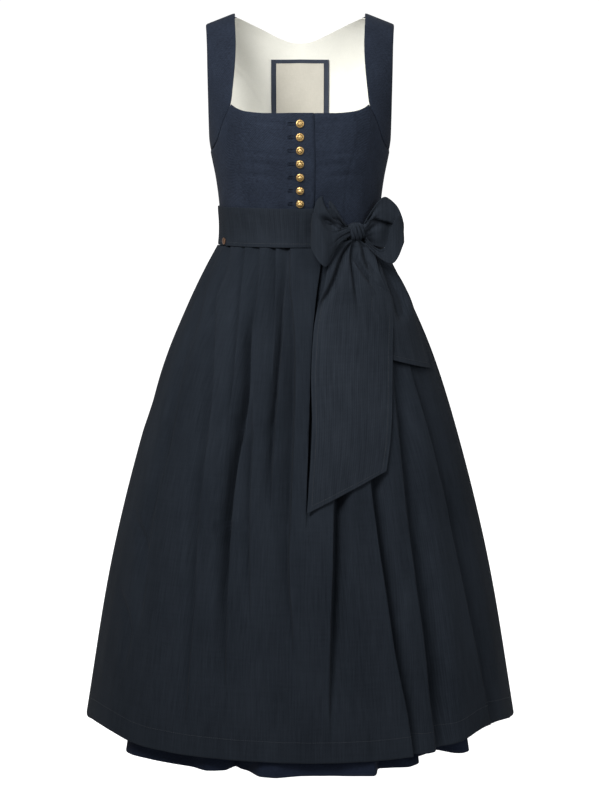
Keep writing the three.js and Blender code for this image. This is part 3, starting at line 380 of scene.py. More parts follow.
def threads(name, centres, directions, outwards, length, width, finish, slot, height=0.5):
    """Stitches: one short rounded bar of 6 sides for each centre, lying along its direction."""
    ring = np.radians(np.arange(0, 360, 60))
    profile = np.array([(-0.5, 0.45), (-0.38, 0.9), (0, 1), (0.38, 0.9), (0.5, 0.45)])
    side = np.cross(outwards, directions)
    side /= np.linalg.norm(side, axis=1, keepdims=True)
    place, girth = profile[:, 0][None, :, None, None], profile[:, 1][None, :, None, None]
    cosine, sine = np.cos(ring)[None, None, :, None], np.sin(ring)[None, None, :, None]
    ahead, across, out = directions[:, None, None, :], side[:, None, None, :], outwards[:, None, None, :]
    bar = place * length * ahead + girth * (cosine * across * width / 2 + sine * out * width * height)
    points = (centres[:, None, None, :] + bar).reshape(-1, 3)
    index = np.arange(30).reshape(5, 6)
    after = np.roll(index, -1, 1)
    quads = np.stack([index[:-1], index[1:], after[1:], after[:-1]], -1).reshape(-1, 4)
    low = np.array([(0, 1, 2, 3), (0, 3, 4, 5)])
    high = np.array([(27, 26, 25, 24), (29, 28, 27, 24)])
    each = np.concatenate([quads, low, high])
    faces = (np.arange(len(centres))[:, None, None] * 30 + each[None]).reshape(-1, 4)
    return build(name, points, [faces], points[:, [0, 2]] / 1000, finish, slot)


def sew(name, line, normal, pitch, size, finish, slot, width=0.4, height=0.3):
    """Stitches spaced evenly along a line of points, standing on the given normals."""
    length = np.concatenate([[0], np.cumsum(np.linalg.norm(np.diff(line, axis=0), axis=1))])
    places = np.arange(pitch / 2, length[-1], pitch)

    def read(values, at):
        return np.column_stack([np.interp(at, length, values[:, k]) for k in range(3)])
    direction = read(line, places + 0.3) - read(line, places - 0.3)
    direction /= np.maximum(np.linalg.norm(direction, axis=1, keepdims=True), 1e-9)
    threads(name, read(line, places), direction, read(normal, places), size, width, finish, slot, height)


# ------------------------------------------------------------------ materials
class Nodes:
    """A material's node tree, written as sums."""

    def __init__(self, name):
        self.material = bpy.data.materials.new(name)
        self.material.use_nodes = True
        self.tree = self.material.node_tree
        self.shader = self.tree.nodes["Principled BSDF"]

    def add(self, kind, **settings):
        node = self.tree.nodes.new(kind)
        for key, value in settings.items():
            setattr(node, key, value)
        return node

    def put(self, value, socket):
        if isinstance(value, bpy.types.NodeSocket):
            self.tree.links.new(value, socket)
        else:
            socket.default_value = value

    def sum(self, operation, a, b=0.0, c=0.0, clamp=False):
        node = self.add("ShaderNodeMath", operation=operation, use_clamp=clamp)
        for value, socket in zip((a, b, c), node.inputs):
            self.put(value, socket)
        return node.outputs[0]

    def coordinate(self, kind="UV"):
        source = self.add("ShaderNodeTexCoord").outputs[kind]
        split = self.add("ShaderNodeSeparateXYZ")
        self.tree.links.new(source, split.inputs[0])
        return source, split.outputs

    def noise(self, source, scale, stretch=(1, 1, 1), detail=2.0, roughness=0.5):
        """A noise of about 1/scale metres, stretched along the axes."""
        mapping = self.add("ShaderNodeMapping")
        mapping.inputs["Scale"].default_value = stretch
        self.tree.links.new(source, mapping.inputs["Vector"])
        node = self.add("ShaderNodeTexNoise")
        node.inputs["Scale"].default_value = scale
        node.inputs["Detail"].default_value = detail
        node.inputs["Roughness"].default_value = roughness
        self.tree.links.new(mapping.outputs[0], node.inputs["Vector"])
        return node.outputs["Fac"]

    def wave(self, place, width):
        """A sine from 0 to 1 over each width in metres."""
        turned = self.sum("MULTIPLY", place, 2 * math.pi / width)
        return self.sum("MULTIPLY_ADD", self.sum("SINE", turned), 0.5, 0.5)

    def colours(self, factor, low, high, start=0.0, end=1.0):
        node = self.add("ShaderNodeValToRGB")
        self.tree.links.new(factor, node.inputs[0])
        node.color_ramp.elements[0].position = start
        node.color_ramp.elements[1].position = end
        node.color_ramp.elements[0].color = (*low, 1)
        node.color_ramp.elements[1].color = (*high, 1)
        return node.outputs[0]

    def finish(self, colour, roughness, height=None, depth=0.0001, **constants):
        """Colour, roughness and bump go in by links, and every constant on the shader's own socket."""
        self.put(colour, self.shader.inputs["Base Color"])
        self.put(roughness, self.shader.inputs["Roughness"])
        for key, value in constants.items():
            self.shader.inputs[key.replace("_", " ")].default_value = value
        if height is not None:
            node = self.add("ShaderNodeBump")
            node.inputs["Strength"].default_value = 1.0
            node.inputs["Distance"].default_value = depth
            self.tree.links.new(height, node.inputs["Height"])
            self.tree.links.new(node.outputs[0], self.shader.inputs["Normal"])
        return self.material


def linear(red, green, blue):
    """A colour given as 0 to 255 on a screen, as light."""
    shares = [value / 255 for value in (red, green, blue)]
    return tuple(s / 12.92 if s <= 10 / 255 else ((s + 0.055) / 1.055) ** 2.4 for s in shares)


def crepe(name, low, high, weave=0.0011, slant=0.35, sheen=0.05):
    """Crepe: a fine slanted twill broken up by short uneven threads that lie across the cloth."""
    n = Nodes(name)
    source, place = n.coordinate()
    slanted = n.sum("MULTIPLY_ADD", place[0], slant, place[1])
    twill = n.wave(slanted, weave)
    ribs = n.wave(place[0], weave * 0.8)
    grain = n.noise(source, 520, (0.42, 1, 1), 3, 0.6)
    cloud = n.noise(source, 22, (1, 1, 1), 2)
    yarns = n.sum("MULTIPLY", twill, n.sum("MULTIPLY_ADD", ribs, 0.4, 0.6))
    height = n.sum("MULTIPLY_ADD", grain, 0.9, n.sum("MULTIPLY", yarns, 0.5))
    tone = n.sum("MULTIPLY_ADD", cloud, 0.3, n.sum("MULTIPLY", height, 0.68), clamp=True)
    roughness = n.sum("MULTIPLY_ADD", grain, 0.12, 0.7)
    return n.finish(n.colours(tone, low, high, 0.28, 0.86), roughness, height, 0.00042,
                    Sheen_Weight=sheen, Sheen_Roughness=0.5, Specular_IOR_Level=0.04)


def ribbed(name, low, high, rib=0.0022, sheen=0.06, rough=0.7):
    """Herringbone: fine slanted threads whose slant turns round from one narrow upright rib to the next."""
    n = Nodes(name)
    source, place = n.coordinate()
    fold = n.sum("PINGPONG", place[0], rib)
    slanted = n.sum("MULTIPLY_ADD", fold, 1.3, place[1])
    twill = n.wave(slanted, 0.0010)
    ribs = n.sum("MULTIPLY", fold, 1 / rib)
    streak = n.noise(source, 300, (1, 0.06, 1), 2, 0.6)
    slub = n.noise(source, 240, (0.06, 1, 1), 1, 0.5)
    cloud = n.noise(source, 11, (1, 0.6, 1), 2)
    height = n.sum("MULTIPLY_ADD", ribs, 0.15, n.sum("MULTIPLY", streak, 0.6))
    height = n.sum("MULTIPLY_ADD", twill, 0.5, height)
    tone = n.sum("MULTIPLY_ADD", slub, 0.07, n.sum("MULTIPLY_ADD", ribs, 0.08, 0.16))
    tone = n.sum("MULTIPLY_ADD", twill, 0.1, n.sum("MULTIPLY_ADD", streak, 0.3, tone))
    tone = n.sum("MULTIPLY_ADD", cloud, 0.25, tone, clamp=True)
    roughness = n.sum("MULTIPLY_ADD", streak, 0.14, rough)
    return n.finish(n.colours(tone, low, high, 0.3, 0.8), roughness, height, 0.00016,
                    Sheen_Weight=sheen, Sheen_Roughness=0.5, Specular_IOR_Level=0.02)


def plain_weave(name, low, high, thread=0.0009, bump_depth=0.0001, rough=0.8):
    """Plain weave: threads across and up over each other, with uneven thread widths."""
    n = Nodes(name)
    source, place = n.coordinate()
    weave = n.sum("MULTIPLY", n.wave(place[0], thread), n.wave(place[1], thread))
    grain = n.noise(source, 420, (1, 0.3, 1), 2)
    cross = n.noise(source, 420, (0.3, 1, 1), 2)
    cloud = n.noise(source, 18, (1, 1, 1), 2)
    height = n.sum("MULTIPLY_ADD", grain, 0.4, n.sum("MULTIPLY", cross, 0.4))
    height = n.sum("MULTIPLY_ADD", weave, 0.6, height)
    tone = n.sum("MULTIPLY_ADD", cloud, 0.45, n.sum("MULTIPLY", height, 0.45), clamp=True)
    return n.finish(n.colours(tone, low, high, 0.2, 0.8), rough, height, bump_depth,
                    Sheen_Weight=0.15, Sheen_Roughness=0.5, Specular_IOR_Level=0.3)


def old_metal(name, dark, light):
    """Antique metal: bright on what stands out, dark in the hollows, with small scratches."""
    n = Nodes(name)
    source, _ = n.coordinate("Object")
    relief = n.add("ShaderNodeNewGeometry").outputs["Pointiness"]
    patina = n.noise(source, 700, (1, 1, 1), 4, 0.65)
    worn = n.sum("MULTIPLY_ADD", relief, 5.0, -2.1)
    tone = n.sum("MULTIPLY_ADD", patina, 0.5, n.sum("MULTIPLY", worn, 0.8), clamp=True)
    rough = n.sum("MULTIPLY_ADD", patina, 0.25, 0.22)
    return n.finish(n.colours(tone, dark, light, 0.25, 0.75), rough, patina, 0.00005, Metallic=1.0)


def thread_finish(name, colour, sheen=0.04, specular=0.5):
    """Sewing thread: two plies twisted, as glossy as its specular share, its colour painted down to 0.7 in
    the groove between the plies as painted shade.
    """
    n = Nodes(name)
    _, place = n.coordinate("Object")
    ply_relief_and_shade = n.wave(n.sum("ADD", place[0], place[2]), 0.0005)
    # Painted shade: the colour falls to 0.7 of itself where the plies meet.
    low = tuple(0.7 * c for c in colour)
    return n.finish(n.colours(ply_relief_and_shade, low, colour), 0.55, ply_relief_and_shade, 0.00004, Sheen_Weight=sheen, Sheen_Roughness=0.4,
                    Specular_IOR_Level=specular)


NAVY = crepe("navy_crepe", linear(8, 11, 18), linear(41, 48, 61), 0.0022, 0.6, 0.02)
SKIRT_NAVY = crepe("navy_skirt_crepe", linear(11, 15, 25), linear(30, 37, 52), 0.0010, 0.5, 0.01)
CHARCOAL = ribbed("charcoal_herringbone", linear(10, 14, 19), linear(37, 42, 49), 0.0015, 0.012)
# The band, tie and bow: the apron's charcoal painted about a tenth lighter, as painted light for the stronger
# light near the waist.
SASH_PAINTED_LIGHTER = ribbed("charcoal_sash_painted_lighter", linear(11, 15, 20), linear(41, 46, 53), 0.0015, 0.012)
CREAM = plain_weave("cream_lining", linear(218, 217, 207), linear(236, 235, 226))
ECRU = plain_weave("ecru_canvas", linear(172, 168, 156), linear(200, 196, 185), 0.0012, 0.00016, 0.85)
PATCH = plain_weave("navy_facing", linear(30, 36, 48), linear(56, 63, 77), 0.0010, 0.00012)
GOLD = old_metal("antique_gold", linear(58, 38, 20), linear(238, 200, 134))
COPPER = old_metal("aged_copper", linear(70, 48, 38), linear(190, 150, 122))
# Near-black, without sheen or gloss, for the buttonholes: painted shade of their slits and of the gaps beside
# their stitches.
SLIT_PAINTED_SHADE = thread_finish("slit_painted_shade", linear(9, 11, 16), 0.0, 0.0)
CHARCOAL_THREAD = thread_finish("charcoal_thread", linear(21, 25, 31))
ECRU_THREAD = thread_finish("ecru_thread", linear(206, 200, 186))


# ------------------------------------------------------------------ bodice
# share of the front's top edge where the neckline meets the strap seam, and (x at the top, x at the waist)
CORNER = 0.62
FRONT_TAPER = np.array([(0, 0), (22, 20), (40, 36), (60, 52), (82, 68), (103.4, 86), (124, 109),
                        (136.8, 121)])


def top_of_front(share):
    """The front's top edge: the neckline's curve, then the strap seam's, each through its own points."""
    neck_x, neck_z = along(NECKLINE, np.clip(share / CORNER, 0, 1))
    seam_x, seam_z = along(STRAP_SEAM, np.clip((share - CORNER) / (1 - CORNER), 0, 1))
    return np.where(share <= CORNER, neck_x, seam_x), np.where(share <= CORNER, neck_z, seam_z)


def front_grid(past_centre, over):
    """One front, on +X: rows run from the waist to the top edge, each column straight between two angles."""
    inner = np.linspace(-past_centre, 0, 20)[:-1]
    near_corner = [0.61, 0.615, 0.618, CORNER, 0.622, 0.625, 0.63]
    neck_x, neck_z = top_of_front(np.unique(np.concatenate([steps(74), near_corner])))
    top_x = np.concatenate([inner, neck_x])
    top_z = np.concatenate([np.full(len(inner), NECK_FRONT), neck_z])
    foot_x = np.where(top_x < 0, top_x, np.interp(top_x, FRONT_TAPER[:, 0], FRONT_TAPER[:, 1]))
    top_angle = angle_at(BODICE, top_x, top_z)
    foot_angle = angle_at(BODICE, foot_x, WAIST)
    side = np.linspace(0, 1, 5)[1:]
    top_angle = np.concatenate([top_angle, mix(top_angle[-1], 90, side)])
    foot_angle = np.concatenate([foot_angle, mix(foot_angle[-1], 90, side)])
    top_z = np.concatenate([top_z, mix(top_z[-1], UNDERARM - 0.5, side)])
    up = steps(80)[:, None]
    z = mix(WAIST, top_z[None], up)
    grid = bodice_point(mix(foot_angle[None], top_angle[None], up), z)
    return grid, front_lift(grid[..., 0], grid[..., 2], over)


def front_lift(x, z, over):
    """How far a front stands off: its overlap's fold and soft ripples, less its creases and the dart."""
    lift = OVERLAP_LIFT * ramp((22 - x) / 7) if over else -1.2 * bump(x, 21.2, 1.3)
    lift = lift + 0.35 * ripples(x, z, 34, 3 if over else 4) * ramp((130 - x) / 20)
    return lift - strain(x, z) - dart_depth(x, z, over)


def dart_depth(x, z, over):
    """A dart: a groove about a millimetre wide along a line up to the neckline, with a soft dip beside it."""
    left = [(-300, 67), (-288, 67), (-250, 70), (-228, 75), (-205, 82), (-190, 85), (-150, 85)]
    right = [(-300, 66), (-288, 66), (-262, 68), (-232, 71.5), (-205, 76), (-180, 79), (-150, 80)]
    centre = through(right if over else left, z)
    shown = mix(1, 0.45, ramp((z + 200) / 24))
    return shown * (0.8 * bump(x, centre, 0.8) + 0.4 * bump(x, centre + 2.5, 3.5))


def strain(x, z):
    """Soft creases that pull across from the buttons towards the bust, one below another."""
    total = 0 * (x + z)
    rows = ((-166, 40, 26, 3), (-211, 55, 24, 4), (-227, 50, 28, 5), (-243, 62, 20, 4))
    for height, middle, wide, tall in rows:
        total = total + 1.1 * bump(z - 0.08 * (x - middle), height, tall) * bump(x, middle, wide)
    return total


def strap_grid():
    """A strap on +X: rows by the root of the drop below the ridge, so that it rounds over the shoulder."""
    rows = np.array(STRAP, float)
    inner_root = np.sqrt(ridge(rows[:, 0]) - rows[:, 1])
    outer_root = np.sqrt(ridge(rows[:, 2]) - rows[:, 3])
    table = np.column_stack([rows[:, 0], inner_root, rows[:, 2], outer_root])
    past_ridge = -math.sqrt(2.6)
    table = np.vstack([table, [100, 0, 144, 0], [100, past_ridge, 144, past_ridge]])
    t = mix(0, len(table) - 1, steps(112))
    inner_x, inner_r, outer_x, outer_r = [v[:, None] for v in path(table, t)]
    share = steps(30, (0.01, 0.03, 0.055))[None]
    x = mix(inner_x, outer_x, share)
    root = mix(inner_r, outer_r, share)
    z = ridge(x) - root ** 2
    return np.where((root < 0)[..., None], bodice_at(x, z, True), bodice_at(x, z, False))


def back_top(x):
    """The back's top edge: the neckline's curve, then just short of the shoulder seam."""
    out = np.abs(x)
    return np.where(out > BACK_NECK[-1][0], ridge(out) - 3.2, through(BACK_NECK, out))


def back_grid():
    """The back's centre panel between its curved seams and the armholes, mirrored about the middle."""
    top_z, top_x = BACK_EDGE[-1]
    up = 1 - (1 - steps(104)) ** 1.5
    edge_z = mix(WAIST, top_z, up)[:, None]
    edge_x = through(BACK_EDGE, edge_z)
    across = mix(-1, 1, steps(84))[None]
    low = 0.9 * ramp((101 - np.abs(across * top_x)) / 2)
    z = mix(WAIST, back_top(across * top_x) - low, (edge_z - WAIST) / (top_z - WAIST))
    return bodice_at(-across * edge_x, z, True)


def side_back_grid():
    """A side back on +X, from the side seam and the armhole to the curved back seam."""
    up = steps(84)
    side_seam = BODICE[:4, [1, 0]]
    edge = np.vstack([side_seam, SIDE_BACK_EDGE])
    place = mix(0, len(edge) - 1, up)
    outer_x, outer_z = path(edge, place)
    # the height on the curved seam that each point of the edge faces
    facing = [-350, -328, -300, -262, -205.5, -196, -184, -168, -148, -129, -109, -94, -71]
    height = np.interp(place, np.arange(len(edge)), facing)
    seam_x = through(BACK_EDGE, height)
    slope = np.gradient(seam_x, height)
    apart = mix(0.5, 1.1, ramp((height + 150) / 50)) / np.hypot(1, slope)
    seam_x, seam_z = seam_x + apart, height - apart * slope
    outer_angle = np.where(place < len(side_seam), 90, angle_at(BODICE, outer_x, outer_z, True))
    seam_angle = angle_at(BODICE, seam_x, seam_z, True)
    share = steps(46)[None]
    angle = mix(outer_angle[:, None], seam_angle[:, None], share)
    return bodice_point(angle, mix(outer_z[:, None], seam_z[:, None], share))


def lining_grid():
    """The back lining, just inside the back up to its neckline and shoulders, its seams pressed proud."""
    foot_z, (top_z, top_x) = LINING_EDGE[0][0], LINING_EDGE[-1]
    up = 1 - (1 - steps(76)) ** 1.5
    edge_z = mix(foot_z, top_z, up)[:, None]
    turn = np.sin(np.radians(mix(80, -80, steps(100))))[None] / math.sin(math.radians(80))
    low = mix(0.9, -0.5, ramp((99 - np.abs(turn * top_x)) / 4))
    z = mix(foot_z, back_top(turn * top_x) - low, (edge_z - foot_z) / (top_z - foot_z))
    grid = bodice_at(turn * through(LINING_EDGE, edge_z), z, True)
    x, z = grid[..., 0], grid[..., 2]
    seam = through([(-350, 36), (-200, 50.5), (-147, 59), (-128, 67), (-93, 90), (-80, 104), (-60, 128)], z)
    away = np.abs(x) - seam
    pressed = 1.0 * bump(away, -3.5, 3.0) - 0.6 * bump(away, 0, 0.8)
    middle = -0.5 * bump(x, 0, 0.8) + 0.3 * bump(np.abs(x), 3, 2)
    return grid, pressed + middle + 0.5 * ripples(x, z, 60, 9)


def flat_inside(width, top, height, depth, seed):
    """A cloth rectangle sewn inside the back, following it, with soft unevenness."""
    u, v = np.meshgrid(steps(40), steps(40))
    x, z = width * (0.5 - u), top - height * (1 - v)
    grid = bodice_at(x, z, True)
    return grid, -depth + 0.3 * ripples(x, z, 40, seed)


def front_lining_grid():
    """The lining behind one front, from beside the centre to the side, ending just below the top edge."""
    share = steps(44)
    x, z = top_of_front(share)
    top_x, top_z = np.maximum(x - 1.0, 1.5), z - 2.5
    up = steps(40)[:, None]
    angle = mix(angle_at(BODICE, top_x * 0.86 + 0.5, WAIST), angle_at(BODICE, top_x, top_z), up)
    return bodice_point(angle, mix(-347, top_z[None], up))


def seam_strip(name, x, z, back):
    """Seam allowances: a strip nine millimetres wide behind a seam's line, on each side of the body."""
    ahead_x, ahead_z = np.gradient(x), np.gradient(z)
    length = np.hypot(ahead_x, ahead_z)
    across = np.linspace(-4.5, 4.5, 5)[None]
    wide_x = x[:, None] + across * (ahead_z / length)[:, None]
    wide_z = z[:, None] - across * (ahead_x / length)[:, None]
    grid = bodice_at(wide_x, wide_z, back)
    pair(name, grid[:, ::-1] if back else grid, 0.7, NAVY, "bodice_cloth", -1.75)


def pair(name, points, *settings, **more):
    """A wall on the left of the body and its mirror image on the right."""
    wall(f"{name}_left", points, *settings, **more)
    wall(f"{name}_right", mirrored(points), *settings, **more)


def make_bodice():
    """Fronts, straps, back panels, linings, seam allowances, patch and label."""
    cloth = (BODICE_WALL, NAVY, "bodice_cloth")
    left, left_lift = front_grid(14, False)
    right, right_lift = front_grid(20, True)
    wall("bodice_front_left", left, *cloth, left_lift, tuck=1.0)
    wall("bodice_front_right", mirrored(right), *cloth, right_lift[:, ::-1], tuck=1.0)
    pair("strap", strap_grid(), *cloth, tuck=0.7)
    wall("bodice_back_centre", back_grid(), *cloth, tuck=0.5)
    pair("bodice_back_side", side_back_grid(), *cloth, tuck=0.5)
    seam_strip("strap_allowance", *along(STRAP_SEAM, np.linspace(0.05, 1, 60)), False)
    z = np.linspace(-349, -73, 120)
    seam_strip("back_allowance", through(BACK_EDGE, z), z, True)
    lining, proud = lining_grid()
    wall("back_lining", lining, 0.9, CREAM, "lining_cloth", -LINING_DEPTH - proud)
    pair("front_lining", front_lining_grid(), 0.8, CREAM, "lining_cloth", -3.9)
    patch, patch_lift = flat_inside(93, -64, 104, 5.2, 21)
    wall("label_patch", patch, 1.0, PATCH, "patch_cloth", patch_lift)
    label, label_lift = flat_inside(77, -70, 92, 6.9, 22)
    wall("label", label, 0.9, ECRU, "label_cloth", label_lift)
    sew_label()


def sew_label():
    """Two fine rows of stitches near the sides of the label and one below its top."""
    corners = np.array([(37.3, -161), (37.3, -71.3), (-37.3, -71.3), (-37.3, -161)])
    t = np.linspace(0, 1, 80)[:, None]
    x, z = np.concatenate([mix(a, b, t) for a, b in zip(corners[:-1], corners[1:])]).T
    line = bodice_at(x, z, True) - np.array([0, 8.1, 0])
    forwards = np.tile([(0.0, -1, 0)], (len(line), 1))
    sew("label_stitches", line, forwards, 2.6, 1.7, ECRU_THREAD, "label_cloth", 0.35, 0.35)


# ------------------------------------------------------------------ skirt and apron
def pleat_fall(from_middle):
    """How far a knife pleat lies below its fold: it climbs evenly to its fold, then drops at once."""
    phase = from_middle / PLEAT_ANGLE + PLEAT_START
    t = phase - np.floor(phase)
    return np.where(t < PLEAT_FOLD, 1 - t / PLEAT_FOLD, (t - PLEAT_FOLD) / (1 - PLEAT_FOLD))


def apron_folds(x, out_y, z, margin=0.0):
    """Depth of the pleats and folds: each drops sharply beside its edge and rises again as a bell does.

    Distances are along the cloth: those along x over the share of the tangent that runs along x."""
    total = 0 * (x + z)
    for drop, rise, side, rows in APRON_FOLDS:
        depth = np.interp(z, [row[0] for row in rows], [row[2] for row in rows], left=rows[0][2])
        past = side * (x - through(rows, z)) / np.maximum(np.abs(out_y), 0.3) + margin
        tail = np.maximum(past - drop - 2 * margin, 0)
        total = total + depth * ramp(past / drop) * np.exp(-(tail / rise) ** 2)
    return total


def hem_fall(angle, z):
    """How far the skirt lies inside its crests: its hem's folds, softened, growing down the cloth."""
    rows = np.array(HEM_FOLDS)
    turned = (angle + 90) % 360 - 90
    depth = sum(np.interp(turned + step, rows[:, 0], rows[:, 1]) for step in (-0.6, 0, 0.6)) / 3
    start = mix(-600, -430, ramp((turned - 90) / 30) * ramp((270 - turned) / 30))
    return depth * ramp((start - z) / 430)


def skirt_point(angle, z):
    """The skirt: its hull less its folds, less pleats where it shows and room for the apron in front."""
    x, y, out_x, out_y = hull(SKIRT, angle, z)
    signed = np.where(angle > 180, angle - 360, angle)
    covered = ramp((APRON_REACH + 5 - np.abs(signed)) / 5)
    rise = through(PLEAT_STEP, z)
    room = 0.5 * rise + through(CLEARANCE, z) + 1.14 * apron_folds(x, out_y, z, 5.0) * ramp((z + 1108) / 16)
    from_middle = np.where(angle > 90, np.abs(angle - 180), np.abs(angle))
    recess = hem_fall(angle, z) + mix(rise * pleat_fall(from_middle), room, covered)
    recess = recess + 0.5 * ripples(angle * 4.2, z, 46, 31, 6) * ramp((-380 - z) / 120)
    return np.stack([x - out_x * recess, y - out_y * recess, z + 0 * x], -1)


def apron_point(across, z):
    """The apron: the skirt's hull lifted, less its pleats and folds, with fine upright ripples."""
    angle = across * APRON_REACH
    x, y, out_x, out_y = hull(SKIRT, angle, z)
    lift = APRON_LIFT - apron_folds(x, out_y, z)
    lift = lift + 0.5 * ripples(across * 330, z, 50, 41, 7) * ramp((-385 - z) / 90)
    return np.stack([x + out_x * lift, y + out_y * lift, z + 0 * x], -1)


def apron_columns(z, count):
    """Shares across for each row, closer beside a fold's edge: the wanted density summed, then inverted."""
    fine = np.linspace(-1, 1, 2401)[None]
    x, _, _, out_y = hull(SKIRT, fine * APRON_REACH, z)
    density = np.ones_like(x)
    for drop, _, side, rows in APRON_FOLDS:
        depth = np.interp(z, [row[0] for row in rows], [row[2] for row in rows])
        past = side * (x - through(rows, z)) / np.maximum(np.abs(out_y), 0.3)
        density = density + 3.2 * bump(past, 0.5 * drop, 3.0 + 0.5 * drop) * ramp(depth / 3)
    total = np.cumsum(density, axis=1)
    share = (total - total[:, :1]) / (total[:, -1:] - total[:, :1])
    return np.stack([np.interp(np.linspace(0, 1, count), row, fine[0]) for row in share])


def panel_uv(width, reach):
    """UV of a gathered panel: its width shared out by the angle from its middle, and metres up the cloth."""
    def uv(points):
        own = surface_uv(points)
        middle = np.sign(points[..., 1].mean())
        angle = np.degrees(np.arctan2(points[..., 0] * -middle, points[..., 1] * middle))
        own[..., 0] = width * (0.5 + angle / (2 * reach))
        return own
    return uv


def pleat_columns(edge, count):
    """Angles from the middle, closer together at each pleat's fold."""
    even = np.linspace(-edge, edge, count)
    folds = (np.arange(0, 9) + PLEAT_FOLD - PLEAT_START) * PLEAT_ANGLE
    near = (folds[:, None] + np.array([-0.5, -0.15, 0.25, 0.65, 1.05, 1.36, 1.6])[None]).ravel()
    near = near[(near > 0.5) & (near < edge - 0.5)]
    return np.unique(np.round(np.concatenate([even, near, -near]), 3))


def make_skirt():
    """Front and back of the skirt, and the apron over it."""
    z = mix(HEM, WAIST - 0.3, steps(77))[:, None]
    steep = np.array([-61, -21.8, 23.6, 39.6, 51.3, 59.6])[:, None] + np.linspace(-1.4, 1.4, 11)[None]
    columns = np.unique(np.round(np.concatenate([np.linspace(-90, 90, 301), steep.ravel()]), 3))
    front = skirt_point(columns[None], z)
    back = skirt_point(180 + pleat_columns(90, 271)[None], z)
    cloth = (SKIRT_WALL, SKIRT_NAVY, "skirt_cloth")
    panels = [wall("skirt_front", front, *cloth, seam_y=0, uv=panel_uv(1.05, 90)),
              wall("skirt_back", back, *cloth, seam_y=0, uv=panel_uv(1.35, 90))]
    up = steps(120)[:, None]
    across = apron_columns(mix(APRON_HEM, WAIST - 0.4, up), 300)
    edge_x, _, _, _ = hull(SKIRT, across * APRON_REACH, APRON_HEM + 0 * up)
    points = apron_point(across, mix(through(APRON_EDGE, edge_x), WAIST - 0.4, up))
    uv = panel_uv(1.15, APRON_REACH)
    panels.append(wall("apron_panel", points, APRON_WALL, CHARCOAL, "apron_cloth", uv=uv))
    return panels


def sew_hem():
    """The stitches of the apron's hem, a line thirty millimetres above its lower edge."""
    across = np.linspace(-0.985, 0.985, 900)[None]
    edge_x, _, _, _ = hull(SKIRT, across * APRON_REACH, APRON_HEM + 0 * across)
    above = np.array([29.0, 30.0, 31.0])[:, None]
    grid = apron_point(across, through(APRON_EDGE, edge_x) + above)
    line, normal = grid[1], normals(grid)[1]
    sew("hem_stitches", line + normal * 0.05, normal, 3.2, 2.1, CHARCOAL_THREAD, "apron_cloth")


# ------------------------------------------------------------------ waistband
def band_lift(angle, z):
    """The band stands off the bodice, more over the buttoned edge, creased softly towards the bow."""
    lift = BAND_LIFT + OVERLAP_LIFT * ramp((32 - np.abs(angle)) / 14)
    crease = 1.9 * bump(z, -301 - 0.35 * (angle - 10), 1.8) + 1.5 * bump(z, -314 - 0.2 * (angle - 10), 2.2)
    crease = crease + 0.7 * bump(z, -324, 3) - 0.5 * bump(z, -318, 4)
    near_bow = ramp((angle - 2) / 24) * ramp((60 - angle) / 14)
    soft = 0.35 * ripples(angle * 2, z, 60, 51, 0.35)
    return lift - crease * near_bow + soft * ramp((-293 - z) / 8) * ramp((z + 348) / 8)


def band_top(angle):
    """The band's upper edge, drawn down into the knot."""
    return BAND_TOP - 26 * ramp((angle - 24) / 13) * ramp((77 - angle) / 13)


def make_band():
    """The apron's band round the front, its tie round the back and the stitches along its lower edge."""
    up = steps(36, (0.01, 0.03, 0.055))[:, None]
    for name, start in (("apron_band", -90), ("apron_tie_back", 90)):
        angle = np.linspace(start, start + 180, 175)[None]
        z = mix(WAIST, band_top(angle), up)
        points = bodice_point(angle, z)
        wall(name, points, BAND_WALL, SASH_PAINTED_LIGHTER, "apron_cloth", band_lift(angle, z), tuck=0.25, seam_y=0)
    angle = np.linspace(-88, 52, 500)
    z = np.full_like(angle, BAND_STITCHES)
    _, _, out_x, out_y = hull(BODICE, angle, z)
    out = np.column_stack([out_x, out_y, 0 * out_x])
    line = bodice_point(angle, z) + out * band_lift(angle, z)[:, None]
    sew("band_stitches", line, out, 3.0, 2.0, CHARCOAL_THREAD, "apron_cloth", 0.5, 0.35)


# ------------------------------------------------------------------ bow
# (x, y, top, low) from the knot along the front of each loop, round its tip and back
LEFT_LOOP = [(73.6, -102.3, -319, -334), (66, -109, -320, -339), (56, -119, -323, -348),
             (46, -127, -323, -365), (38, -133, -320, -376), (32, -135.5, -312, -373),
             (26.5, -134.5, -303, -366), (20.5, -128.5, -296, -356), (16.8, -123, -313, -346),
             (19, -118.5, -301, -342), (24, -115.5, -281, -340), (33, -113.5, -273.5, -340),
             (43, -110.5, -278, -340), (52, -106.5, -288, -340), (61, -102, -303, -340),
             (70.2, -96.6, -317.5, -340)]
RIGHT_LOOP = [(98.2, -86, -333, -344), (106, -91, -343, -353), (114, -95, -350, -361),
              (122, -97, -353, -367), (129, -96, -347, -371), (133, -94, -333, -373), (138, -91, -319, -374),
              (143.5, -87.5, -309, -371), (149.5, -82, -303, -362), (154.5, -76, -308, -350),
              (157.5, -69, -316, -343), (156, -63, -310, -345), (149, -60, -293, -350),
              (138, -63.5, -281, -352), (127, -68, -275.5, -352), (116, -73, -284, -350),
              (106, -77.5, -298, -346), (96, -79.5, -314, -342)]


def left_fold(x, z, share):
    """The left loop's back layer drops into a slanting slit and into a hollow above the front layer."""
    past = x - through([(-318, 62), (-308, 51.5), (-296, 41.5), (-286, 36), (-277, 33.5)], z)
    slit = ramp(past / 1.3) * (3.0 + 8.0 * bump(np.maximum(past - 1.3, 0), 0, 5.0))
    hollow = 11.0 * bump(z, -310 - 0.5 * (x - 36), 7.0) * bump(x, 44, 12)
    return np.minimum(slit + hollow, 12.5) * ramp((share - 0.6) / 0.04)


def right_fold(x, z, share):
    """The right loop's far layer folds in below a line that falls outwards from the knot."""
    line = -303 - (x - 105) * 0.33
    return 8.0 * ramp((line - z) / 3) * ramp((x - 97) / 8) * ramp((150 - x) / 14) * ramp((share - 0.6) / 0.04)


